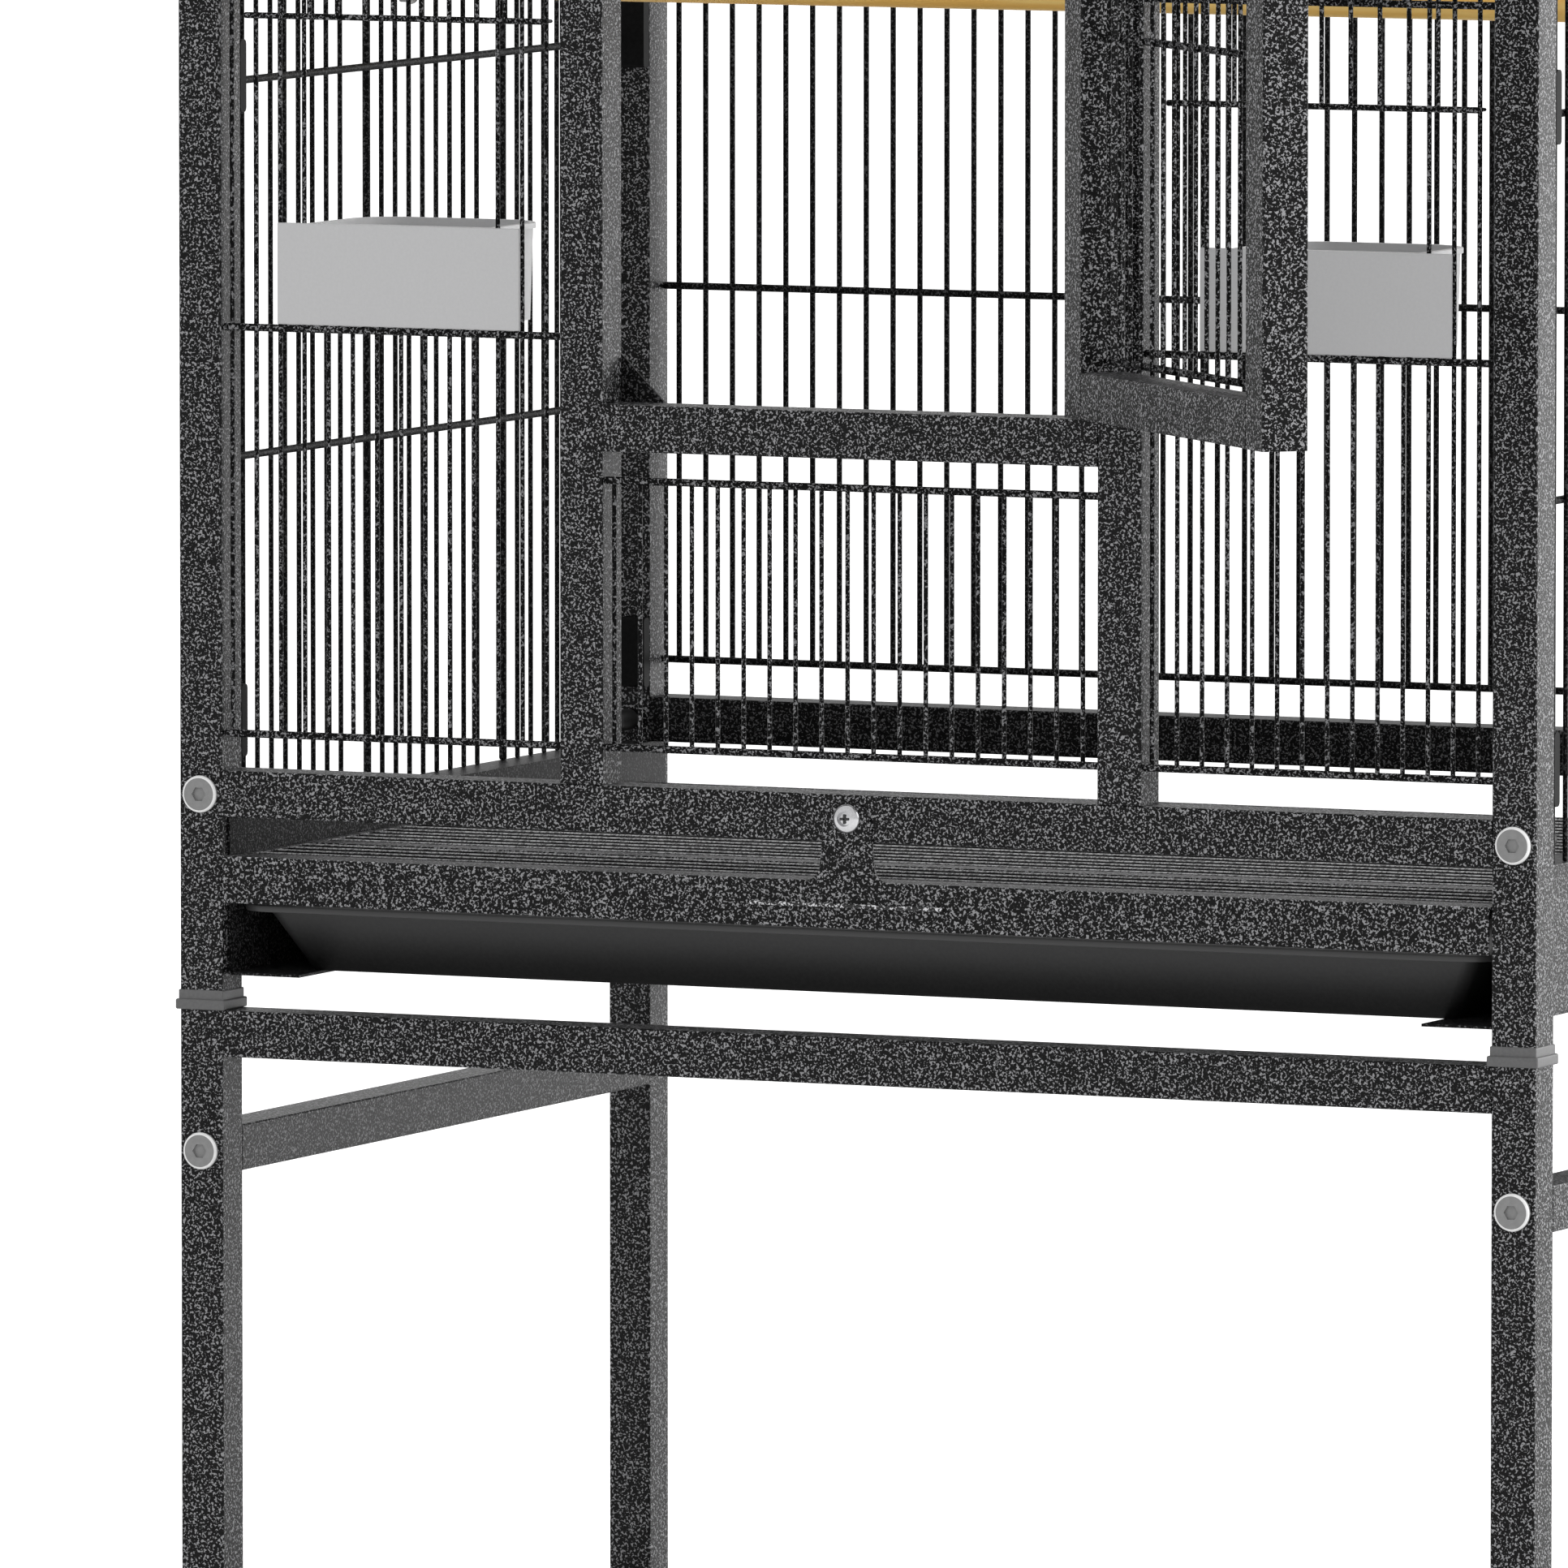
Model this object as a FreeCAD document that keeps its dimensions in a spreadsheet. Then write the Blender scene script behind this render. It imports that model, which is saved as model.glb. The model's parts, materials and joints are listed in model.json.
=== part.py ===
"""Bird cage on a rolling stand: square tube frame, wire panels, front door, feeder doors and cups,
pull-out grate and tray, storage shelf and swivel casters.

Frame: +Z up, X to the right, the door faces -Y. The origin is on the floor, under the middle of the
post footprint. Millimetres.
"""
import FreeCAD, Part
import os
import re
import Sketcher

# Driving dimensions. Heights with no other word are measured from the top of the stand legs.
DIMENSIONS = {
    # frame tube and overall size
    "cage_width": 787,
    "cage_depth": 566,
    "cage_height": 886,
    "tube": 25,
    "tube_wall": 1.2,
    "side_bay": 200,
    "bottom_rail_height": 104,
    "sill_height": 306.6,
    "door_opening_height": 406,
    # wire panels
    "front_wire_radius": 1.1,
    "side_wire_radius": 1.2,
    "side_guide_radius": 1.9,
    "rear_wire_radius": 1.35,
    "cross_wire_radius": 1.8,
    "bay_pitch": 14.3,
    "centre_pitch": 15.1,
    "rear_pitch": 16.4,
    "side_pitch": 17.2,
    "front_wire_setback": 7,
    "rear_wire_setback": 3,
    "side_wire_setback": 4,
    "front_wire_shift": -3.5,
    "weld_gap": 0.05,
    "wire_tip": 1.2,
    "panel_margin": 20,
    "shelf_wire_height": 366.8,
    "feeder_top_height": 553,
    "side_cross_first": 293.5,
    "side_cross_step": 202,
    "rear_cross_first": 357.9,
    "rear_cross_step": 208,
    "roof_wire_drop": 6,
    # hook brackets between posts and side panels
    "hook_depth": 7,
    "hook_height": 39,
    "hook_first": 154,
    "hook_step": 345.8,
    # side runners folded from sheet
    "runner_sheet": 1.5,
    "runner_setback": 7,
    "runner_foot": 18.6,
    "runner_flange": 42.5,
    "runner_ledge": 14,
    "runner_top_flange": 23,
    # main door
    "door_gap": 2,
    "door_lift": 2.9,
    "door_proud": 0.5,
    "door_pitch": 15.5,
    "door_open_angle": 135,
    "door_cross_edge": 5.8,
    "hinge_inset": 7,
    "hinge_standoff": 3.2,
    "hinge_length": 26,
    "hinge_height": 62,
    "hinge_pin_radius": 1.6,
    "hinge_fit": 0.06,
    "hinge_eye_radius": 2.8,
    "strap_height": 14,
    "strap_reach": 22,
    "gusset_leg": 25,
    "gusset_lap": 10,
    "gusset_sheet": 1.8,
    # door latch
    "latch_height": 250,
    "latch_radius": 3,
    "latch_play": 0.3,
    "latch_block": 12,
    "latch_knob_radius": 5,
    # lifting feeder doors
    "feeder_height": 205,
    "feeder_pitch": 16.5,
    "feeder_wire_radius": 1.1,
    "feeder_bar_radius": 1.5,
    "feeder_bar_gap": 0.4,
    "feeder_seat": 3.2,
    "left_feeder_lift": 162,
    "right_feeder_lift": 127,
    "eye_half": 3.5,
    "eye_sheet": 2.2,
    "eye_play": 0.35,
    # feeder cups
    "cup_plate_width": 143,
    "cup_plate_height": 54.4,
    "cup_plate_sheet": 2.4,
    "cup_depth": 75,
    "cup_height": 52,
    "cup_wall": 2,
    "cup_corner": 28,
    "cup_rim": 1.5,
    "cup_rim_height": 3,
    "cup_side_gap": 3,
    "cup_seat_gap": 0.3,
    # grate and its front flap
    "grate_top": 83.2,
    "grate_bar": 5,
    "grate_side_gap": 1.5,
    "grate_rear_gap": 20,
    "grate_wire_radius": 1.5,
    "grate_pitch": 18,
    "grate_strip_width": 16,
    "grate_strip_sheet": 3,
    "grate_strip_setback": 102,
    "flap_height": 25,
    "flap_sheet": 1.5,
    "flap_lip": 21,
    "flap_side_gap": 1,
    "tab_top_width": 27,
    "tab_base_width": 34,
    "tab_height": 42,
    "tab_corner": 10,
    "screw_radius": 2.5,
    "screw_length": 12,
    "screw_head_radius": 8,
    "screw_crown_radius": 5,
    "screw_head_height": 4.5,
    "screw_drop": 12.5,
    "screw_play": 0.3,
    # tray
    "tray_side_gap": 2.4,
    "tray_setback": 6,
    "tray_height": 36.8,
    "tray_wall": 2.2,
    "tray_wall_run": 20,
    "tray_rim_width": 13,
    "tray_rim_sheet": 3.8,
    "tray_corner": 20,
    # perch
    "perch_radius": 8,
    "perch_height": 530.5,
    "perch_end_gap": 0.3,
    "perch_screw_radius": 2.5,
    "perch_washer_radius": 12,
    "perch_washer_sheet": 1.5,
    "perch_nut_radius": 8,
    "perch_nut_length": 9,
    # bolts and nuts
    "bolt_head_radius": 10,
    "bolt_head_height": 2.6,
    "bolt_radius": 3,
    "bolt_length": 42,
    "bolt_play": 0.1,
    "nut_radius": 6,
    "nut_length": 20,
    "frame_bolt_height": 116,
    # collars between posts and legs, caps on the posts
    "collar_height": 10.6,
    "collar_step": 5.6,
    "collar_lip": 2,
    "collar_upper_lip": 0.65,
    "collar_plug": 22,
    "plug_play": 0.2,
    "cap_height": 4,
    "cap_plug": 8,
    # stand
    "leg_length": 398,
    "stand_rail_drop": 76,
    "shelf_height": 5,
    "slat_radius": 2,
    "slat_pitch": 24,
    # casters
    "caster_height": 62,
    "wheel_radius": 25,
    "wheel_width": 20,
    "axle_radius": 3,
    "axle_fit": 0.06,
    "caster_trail": 18,
    "crown_radius": 17,
    "crown_sheet": 4,
    "fork_sheet": 2.5,
    "fork_width": 15,
    "fork_side_gap": 0.6,
    "stem_radius": 5,
    "stem_length": 22,
    "stem_fit": 0.06,
    "leg_plug_sheet": 3,
    "leg_plug_depth": 24,
}

# Expressions shared by many pieces
FRONT = "(-cage_depth / 2)"
REAR = "(cage_depth / 2)"
LEFT = "(-cage_width / 2)"
RIGHT = "(cage_width / 2)"
INNER_FRONT = f"({FRONT} + tube)"
INNER_REAR = f"({REAR} - tube)"
INNER_LEFT = f"({LEFT} + tube)"
INNER_RIGHT = f"({RIGHT} - tube)"
INNER_WIDTH = "(cage_width - 2 * tube)"
INNER_DEPTH = "(cage_depth - 2 * tube)"
DOOR_OPENING = "(cage_width - 4 * tube - 2 * side_bay)"
OPEN_LEFT = f"({INNER_LEFT} + side_bay + tube)"
OPEN_RIGHT = f"({INNER_RIGHT} - side_bay - tube)"
LEG_TOP = "(caster_height + leg_length)"
POST_FOOT = f"({LEG_TOP} + collar_height)"
CAGE_TOP = f"({LEG_TOP} + cage_height)"
BOTTOM_RAIL = f"({LEG_TOP} + bottom_rail_height)"
BOTTOM_RAIL_TOP = f"({BOTTOM_RAIL} + tube)"
SILL = f"({LEG_TOP} + sill_height)"
SILL_TOP = f"({SILL} + tube)"
HEAD = f"({SILL_TOP} + door_opening_height)"
TOP_RAIL = f"({CAGE_TOP} - tube)"
PANEL_LOW = f"({BOTTOM_RAIL_TOP} + panel_margin)"
PANEL_HIGH = f"({TOP_RAIL} - panel_margin)"
SHELF_WIRE = f"({LEG_TOP} + shelf_wire_height)"
FEEDER_TOP = f"({LEG_TOP} + feeder_top_height)"
FRONT_UPRIGHT = f"({FRONT} + front_wire_setback)"
FRONT_CROSS = f"({FRONT_UPRIGHT} - front_wire_radius - cross_wire_radius - weld_gap)"
REAR_UPRIGHT = f"({REAR} - rear_wire_setback)"
REAR_CROSS = f"({REAR_UPRIGHT} - rear_wire_radius - cross_wire_radius - weld_gap)"
RUNNER_TOP = BOTTOM_RAIL
FRAME_BOLT = f"({LEG_TOP} + frame_bolt_height)"
STAND_BOLT = f"({LEG_TOP} - stand_rail_drop)"
TOP_BOLT = f"({TOP_RAIL} + tube / 2)"
LEFT_POST_X = f"({LEFT} + tube / 2)"
RIGHT_POST_X = f"({RIGHT} - tube / 2)"

# Counts of wires, worked out from the pitches
size = DIMENSIONS
inner_width = size["cage_width"] - 2 * size["tube"]
inner_depth = size["cage_depth"] - 2 * size["tube"]
door_opening = inner_width - 2 * size["tube"] - 2 * size["side_bay"]
BAY_WIRES = round(size["side_bay"] / size["bay_pitch"])
CENTRE_WIRES = round(door_opening / size["centre_pitch"])
REAR_WIRES = round(inner_width / size["rear_pitch"])
SIDE_WIRES = round(inner_depth / size["side_pitch"])
FEEDER_WIRE_COUNT = 9
WIRE_SIDE_COUNT = 6
HOLE_SIDE_COUNT = 8
HEAD_SIDE_COUNT = 12
GUIDE_WIRES = (11, 21)
SIDE_GAPS = (10, 20)
OPENING_FIRST = 4
OPENING_WIRES = 7
BAY_STEP = f"(side_bay / {BAY_WIRES})"
OPENING_CENTRE = f"({BAY_STEP} * {OPENING_FIRST + OPENING_WIRES / 2} + front_wire_shift)"
OPENING_CLEAR = f"({BAY_STEP} * {OPENING_WIRES + 1} - 2 * front_wire_radius)"
LEFT_BAY = INNER_LEFT
RIGHT_BAY = f"({OPEN_RIGHT} + tube)"

doc = FreeCAD.newDocument("bird_cage")
sheet = doc.addObject("Spreadsheet::Sheet", "dims")
for row, (alias, number) in enumerate(DIMENSIONS.items(), 1):
    sheet.set(f"A{row}", alias)
    sheet.set(f"B{row}", str(number))
    sheet.setAlias(f"B{row}", alias)
doc.recompute()

X_TURN = FreeCAD.Rotation(FreeCAD.Vector(0, 1, 0), 90)
Y_TURN = FreeCAD.Rotation(FreeCAD.Vector(1, 0, 0), -90)
TURNS = {"x": X_TURN, "y": Y_TURN, "z": FreeCAD.Rotation()}
QUARTER_TURNED = {("x", "y"), ("y", "z"), ("z", "y")}
SUB_PARTS = []


def bind(obj, prop, expression):
    """Ties a property to the sheet; words that are aliases become references to its cells."""
    def cell(match):
        word = match.group()
        return f"dims.{word}" if word in DIMENSIONS else word
    obj.setExpression(prop, re.sub(r"[a-z][a-z_]*", cell, expression))


def place(obj, x="0", y="0", z="0"):
    """Ties an object's position to three expressions."""
    for axis, expression in zip("xyz", (x, y, z)):
        bind(obj, f"Placement.Base.{axis}", expression)
    return obj


def sub_part(obj, label):
    """Names a finished piece, which is then written to its own file."""
    obj.Label = label
    SUB_PARTS.append(obj)
    return obj


def box(lengths, corner):
    """A block from its three lengths and its lowest corner."""
    obj = doc.addObject("Part::Box", "block")
    for prop, expression in zip(("Length", "Width", "Height"), lengths):
        bind(obj, prop, expression)
    return place(obj, *corner)


def rod(axis, radius, length, start):
    """A round bar along x, y or z from its start point."""
    obj = doc.addObject("Part::Cylinder", "rod")
    obj.Placement = FreeCAD.Placement(FreeCAD.Vector(), TURNS[axis])
    bind(obj, "Radius", radius)
    bind(obj, "Height", length)
    return place(obj, *start)


def flat_rod(axis, radius, length, start, sides=HOLE_SIDE_COUNT, quarter=0):
    """A bar with flats, each a radius from the middle line, and two or four of them square to the axes."""
    obj = doc.addObject("Part::Prism", "flat_rod")
    obj.Polygon = sides
    own_turn = FreeCAD.Rotation(FreeCAD.Vector(0, 0, 1), 180 / sides + quarter * 90)
    obj.Placement = FreeCAD.Placement(FreeCAD.Vector(), TURNS[axis].multiply(own_turn))
    bind(obj, "Circumradius", f"({radius}) / cos(180 deg / {sides})")
    bind(obj, "Height", length)
    return place(obj, *start)


def wire(axis, face, radius, length, start):
    """A wire of a panel, with two flats that look along the face axis, where wires cross and touch."""
    return flat_rod(axis, radius, length, start, WIRE_SIDE_COUNT, int((axis, face) in QUARTER_TURNED))


def cut(base, *tools):
    """Takes each tool out of the base."""
    for tool in tools:
        result = doc.addObject("Part::Cut", "cut")
        result.Base = base
        result.Tool = tool
        base = result
    return base


def fuse(*shapes):
    """Joins shapes into one solid."""
    result = doc.addObject("Part::MultiFuse", "joined")
    result.Shapes = list(shapes)
    result.Refine = True
    return result


def group(*shapes):
    """Holds separate solids in one piece."""
    result = doc.addObject("Part::Compound", "set")
    result.Links = list(shapes)
    return result


def round_edges(base, alias, chosen):
    """Rounds the edges that the chosen test picks, with a radius from the sheet."""
    doc.recompute()
    radius = float(sheet.get(alias))
    picked = [(number, radius, radius) for number, edge in enumerate(base.Shape.Edges, 1) if chosen(edge)]
    result = doc.addObject("Part::Fillet", "rounded")
    result.Base = base
    result.Edges = picked
    return result


def upright_edge(edge):
    """True for an edge that climbs more than it runs."""
    first, last = edge.Vertexes[0].Point, edge.Vertexes[-1].Point
    return abs(last.z - first.z) > 0.5 * edge.Length


def tube(axis, length, corner, holes=()):
    """A square tube, open at both ends, with the holes taken out."""
    outer = tuple(length if side == axis else "tube" for side in "xyz")
    inner = tuple(side if side == length else "tube - 2 * tube_wall" for side in outer)
    shifts = tuple("0" if side == length else "tube_wall" for side in outer)
    inner_corner = tuple(f"{start} + {shift}" for start, shift in zip(corner, shifts))
    return cut(box(outer, corner), box(inner, inner_corner), *holes)


def polygon(body, plane, points):
    """A closed outline in one of the body's own origin planes, each corner tied to two expressions."""
    sketch = body.newObject("Sketcher::SketchObject", "outline")
    support = [item for item in body.Origin.OriginFeatures if item.Role == plane]
    sketch.AttachmentSupport = [(support[0], "")]
    sketch.MapMode = "FlatFace"
    count = len(points)
    turn = FreeCAD.Rotation(FreeCAD.Vector(0, 0, 1), 360 / count)
    corners = [FreeCAD.Vector(10, 0, 0)]
    for _ in range(count - 1):
        corners.append(turn.multVec(corners[-1]))
    for index, corner in enumerate(corners):
        sketch.addGeometry(Part.LineSegment(corner, corners[(index + 1) % count]))
    for index in range(count):
        sketch.addConstraint(Sketcher.Constraint("Coincident", index, 2, (index + 1) % count, 1))
    for index, (corner, point) in enumerate(zip(corners, points)):
        for kind, number, expression in zip(("DistanceX", "DistanceY"), corner, point):
            constraint = sketch.addConstraint(Sketcher.Constraint(kind, -1, 1, index, 1, number))
            bind(sketch, f"Constraints[{constraint}]", expression)
    return sketch


def pad(body, sketch, length, backward=False, middle=False):
    """Gives an outline its thickness."""
    feature = body.newObject("PartDesign::Pad", "pad")
    feature.Profile = sketch
    bind(feature, "Length", length)
    feature.Reversed = backward
    if middle:
        feature.SideType = "Symmetric"
    return feature


def new_body():
    return doc.addObject("PartDesign::Body", "body")


def wire_row(axis, face, radius, length, start, step_axis, span, count, skip=()):
    """Wires side by side, spread evenly over a span with half a step at each end."""
    wires = []
    column = "xyz".index(step_axis)
    for index in range(count):
        if index in skip:
            continue
        spot = list(start)
        spot[column] = f"{start[column]} + {span} * {index + 0.5} / {count}"
        wires.append(wire(axis, face, radius, length, spot))
    return wires


# Cage posts, jambs and rails
def cage_post(label, x, y):
    middle = f"{x} + tube / 2"
    holes = [flat_rod("y", "bolt_radius + bolt_play", "tube", (middle, y, z)) for z in (FRAME_BOLT, TOP_BOLT)]
    return sub_part(tube("z", f"{CAGE_TOP} - {POST_FOOT}", (x, y, POST_FOOT), holes), label)


for side, x in (("left", LEFT), ("right", INNER_RIGHT)):
    for end, y in (("front", FRONT), ("rear", INNER_REAR)):
        cage_post(f"{end}_{side}_post", x, y)

JAMB_LENGTH = f"{TOP_RAIL} - {BOTTOM_RAIL_TOP}"
sub_part(tube("z", JAMB_LENGTH, (f"{OPEN_LEFT} - tube", FRONT, BOTTOM_RAIL_TOP)), "left_door_jamb")
sub_part(tube("z", JAMB_LENGTH, (OPEN_RIGHT, FRONT, BOTTOM_RAIL_TOP)), "right_door_jamb")

SCREW_HEIGHT = f"({BOTTOM_RAIL} + tube - screw_drop)"
screw_hole = flat_rod("y", "screw_radius + screw_play", "tube_wall", ("0", FRONT, SCREW_HEIGHT))
sub_part(tube("x", INNER_WIDTH, (INNER_LEFT, FRONT, BOTTOM_RAIL), [screw_hole]), "front_bottom_rail")
sub_part(tube("x", DOOR_OPENING, (OPEN_LEFT, FRONT, SILL)), "door_sill_rail")
sub_part(tube("x", DOOR_OPENING, (OPEN_LEFT, FRONT, HEAD)), "door_head_rail")
sub_part(tube("x", INNER_WIDTH, (INNER_LEFT, FRONT, TOP_RAIL)), "front_top_rail")
sub_part(tube("x", INNER_WIDTH, (INNER_LEFT, INNER_REAR, BOTTOM_RAIL)), "rear_bottom_rail")
sub_part(tube("x", INNER_WIDTH, (INNER_LEFT, INNER_REAR, TOP_RAIL)), "rear_top_rail")
top_sides = [tube("y", INNER_DEPTH, (x, INNER_FRONT, TOP_RAIL)) for x in (LEFT, INNER_RIGHT)]
sub_part(group(*top_sides), "side_top_rails")


# Front wire panels
def front_cross(left, span, height):
    return wire("x", "y", "cross_wire_radius", span, (left, FRONT_CROSS, height))


def front_uprights(left, span, count, low, high, skip=()):
    start = (f"{left} + front_wire_shift", FRONT_UPRIGHT, f"{low} - wire_tip")
    length = f"{high} - {low} + 2 * wire_tip"
    return wire_row("z", "y", "front_wire_radius", length, start, "x", span, count, skip)


def feeder_bay(label, left):
    """Wires of a side bay, interrupted by the tall feeder opening."""
    opening = range(OPENING_FIRST, OPENING_FIRST + OPENING_WIRES)
    beside = [index for index in range(BAY_WIRES) if index not in opening]
    wires = [front_cross(left, "side_bay", z) for z in (PANEL_LOW, SHELF_WIRE, FEEDER_TOP, PANEL_HIGH)]
    wires += front_uprights(left, "side_bay", BAY_WIRES, PANEL_LOW, PANEL_HIGH, opening)
    wires += front_uprights(left, "side_bay", BAY_WIRES, PANEL_LOW, SHELF_WIRE, beside)
    wires += front_uprights(left, "side_bay", BAY_WIRES, FEEDER_TOP, PANEL_HIGH, beside)
    sub_part(group(*wires), label)


def centre_panel(label, low, high):
    """Wires between the jambs."""
    wires = [front_cross(OPEN_LEFT, DOOR_OPENING, z) for z in (low, high)]
    wires += front_uprights(OPEN_LEFT, DOOR_OPENING, CENTRE_WIRES, low, high)
    sub_part(group(*wires), label)


feeder_bay("front_left_wires", LEFT_BAY)
feeder_bay("front_right_wires", RIGHT_BAY)
SILL_WIRE = f"({SILL} - panel_margin + cross_wire_radius * 2.5)"
centre_panel("front_lower_wires", PANEL_LOW, SILL_WIRE)
centre_panel("front_upper_wires", f"({HEAD} + tube + panel_margin)", PANEL_HIGH)

# Rear panel
rear_wires = [
    wire("x", "y", "cross_wire_radius", INNER_WIDTH, (INNER_LEFT, REAR_CROSS, z))
    for z in (
        PANEL_LOW,
        f"{LEG_TOP} + rear_cross_first",
        f"{LEG_TOP} + rear_cross_first + rear_cross_step",
        PANEL_HIGH,
    )
]
rear_start = (INNER_LEFT, REAR_UPRIGHT, f"{PANEL_LOW} - wire_tip")
rear_length = f"{PANEL_HIGH} - {PANEL_LOW} + 2 * wire_tip"
rear_wires += wire_row("z", "y", "rear_wire_radius", rear_length, rear_start, "x", INNER_WIDTH, REAR_WIRES)
sub_part(group(*rear_wires), "rear_wires")


# Side panels, with two thicker guide wires each
def side_panel(label, outer, inward):
    upright = f"({outer} + {inward} * side_wire_setback)"
    cross = f"({upright} + {inward} * (side_guide_radius + cross_wire_radius + weld_gap))"
    cross_start = f"({INNER_FRONT} + hook_depth)"
    cross_length = f"{INNER_DEPTH} - 2 * hook_depth"
    heights = [f"{LEG_TOP} + side_cross_first + side_cross_step * {step}" for step in range(3)]
    heights.append(PANEL_HIGH)
    wires = [wire("y", "x", "cross_wire_radius", cross_length, (cross, cross_start, z)) for z in heights]
    plain_x = f"({upright} + {inward} * (side_guide_radius - side_wire_radius))"
    length = f"{PANEL_HIGH} + wire_tip - {RUNNER_TOP}"
    start = (plain_x, INNER_FRONT, RUNNER_TOP)
    skipped = GUIDE_WIRES + SIDE_GAPS
    wires += wire_row("z", "x", "side_wire_radius", length, start, "y", INNER_DEPTH, SIDE_WIRES, skipped)
    others = [index for index in range(SIDE_WIRES) if index not in GUIDE_WIRES]
    start = (upright, INNER_FRONT, RUNNER_TOP)
    wires += wire_row("z", "x", "side_guide_radius", length, start, "y", INNER_DEPTH, SIDE_WIRES, others)
    sub_part(group(*wires), label)


side_panel("left_side_wires", LEFT, 1)
side_panel("right_side_wires", RIGHT, -1)

# Roof: wires front to back, welded on two cross rods
ROOF = f"({CAGE_TOP} - roof_wire_drop)"
ROOF_CROSS = f"({ROOF} - rear_wire_radius - cross_wire_radius - weld_gap)"
roof = [
    wire("x", "z", "cross_wire_radius", INNER_WIDTH, (INNER_LEFT, f"{INNER_DEPTH} * {share}", ROOF_CROSS))
    for share in (-1 / 6, 1 / 6)
]
roof_start = (INNER_LEFT, INNER_FRONT, ROOF)
roof += wire_row("y", "z", "rear_wire_radius", INNER_DEPTH, roof_start, "x", INNER_WIDTH, REAR_WIRES)
sub_part(group(*roof), "roof_wires")


# Side runners: upper flange for the side wires, web, ledge for the grate, lower flange for the tray
LEDGE = f"({LEG_TOP} + grate_top - grate_bar)"


def runner(label, edge, inward):
    body = new_body()
    web_in = f"{edge} + {inward} * runner_sheet"
    foot = f"({LEG_TOP} + runner_foot)"
    flange = f"{edge} + {inward} * runner_flange"
    ledge = f"{edge} + {inward} * runner_ledge"
    points = [
        (edge, foot),
        (flange, foot),
        (flange, f"{foot} + runner_sheet"),
        (web_in, f"{foot} + runner_sheet"),
        (web_in, f"{LEDGE} - runner_sheet"),
        (ledge, f"{LEDGE} - runner_sheet"),
        (ledge, LEDGE),
        (web_in, LEDGE),
        (web_in, RUNNER_TOP),
        (edge, RUNNER_TOP),
    ]
    pad(body, polygon(body, "XZ_Plane", points), "cage_depth - 2 * runner_setback", middle=True)
    outer = f"{edge} - {inward} * runner_top_flange"
    points = [
        (outer, f"{RUNNER_TOP} - runner_sheet"),
        (web_in, f"{RUNNER_TOP} - runner_sheet"),
        (web_in, RUNNER_TOP),
        (outer, RUNNER_TOP),
    ]
    pad(body, polygon(body, "XZ_Plane", points), INNER_DEPTH, middle=True)
    sub_part(body, label)


runner("left_runner", INNER_LEFT, 1)
runner("right_runner", INNER_RIGHT, -1)

# Hook brackets on the posts' inner faces
hooks = []
for x in (LEFT, INNER_RIGHT):
    for y in (INNER_FRONT, f"{INNER_REAR} - hook_depth"):
        for middle in (f"{LEG_TOP} + hook_first", f"{LEG_TOP} + hook_first + hook_step", PANEL_HIGH):
            z = f"{middle} - hook_height / 2"
            hooks.append(box(("tube", "hook_depth", "hook_height"), (x, y, z)))
sub_part(group(*hooks), "panel_hooks")


# Corner gussets that stop the door
def gusset(corner_z, up):
    body = new_body()
    long_leg = "(gusset_leg + 2 * gusset_lap)"
    x = f"({OPEN_LEFT} - gusset_lap)"
    z = f"({corner_z} - {up} * gusset_lap)"
    points = [(x, z), (f"{x} + {long_leg}", z), (x, f"{z} + {up} * {long_leg}")]
    pad(body, polygon(body, "XZ_Plane", points), "gusset_sheet", backward=True)
    return place(body, y=INNER_FRONT)


sub_part(group(gusset(SILL_TOP, 1), gusset(HEAD, -1)), "door_gussets")

# Hinges: knuckles on the right jamb, straps with pins on the door
HINGE_X = f"({OPEN_RIGHT} + hinge_inset)"
HINGE_Y = f"({FRONT} - hinge_standoff)"
HINGES = (f"({SILL_TOP} + hinge_height)", f"({HEAD} - hinge_height - hinge_length)")


def knuckle(z):
    barrel = rod("z", "hinge_standoff", "hinge_length", (HINGE_X, HINGE_Y, z))
    foot_size = ("2 * hinge_standoff", "hinge_standoff", "hinge_length")
    foot = box(foot_size, (f"{HINGE_X} - hinge_standoff", HINGE_Y, z))
    bore = rod("z", "hinge_pin_radius + hinge_fit", "hinge_length", (HINGE_X, HINGE_Y, z))
    return cut(fuse(barrel, foot), bore)


sub_part(group(*[knuckle(z) for z in HINGES]), "hinge_knuckles")

# Main door, drawn closed about its hinge axis and turned to the open angle
DOOR_RIGHT = "(-hinge_inset - door_gap)"
DOOR_WIDTH = f"({DOOR_OPENING} - 2 * door_gap)"
DOOR_LEFT = f"({DOOR_RIGHT} - {DOOR_WIDTH})"
DOOR_FACE = "(hinge_standoff - door_proud)"
DOOR_LOW = f"({SILL_TOP} + door_lift)"
DOOR_HEIGHT = "(door_opening_height - 2 * door_lift)"


def on_door(obj, label):
    """Carries a piece that was drawn about the hinge axis to its place on the open door."""
    obj.Placement = FreeCAD.Placement(FreeCAD.Vector(), FreeCAD.Rotation(FreeCAD.Vector(0, 0, 1), 1))
    bind(obj, "Placement.Rotation.Angle", "door_open_angle * 1 deg")
    place(obj, HINGE_X, HINGE_Y)
    return sub_part(obj, label)


stiles = [tube("z", DOOR_HEIGHT, (x, DOOR_FACE, DOOR_LOW)) for x in (DOOR_LEFT, f"{DOOR_RIGHT} - tube")]
rails = [
    tube("x", f"{DOOR_WIDTH} - 2 * tube", (f"{DOOR_LEFT} + tube", DOOR_FACE, z))
    for z in (DOOR_LOW, f"{DOOR_LOW} + {DOOR_HEIGHT} - tube")
]
on_door(group(*stiles, *rails), "door_frame")

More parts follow.
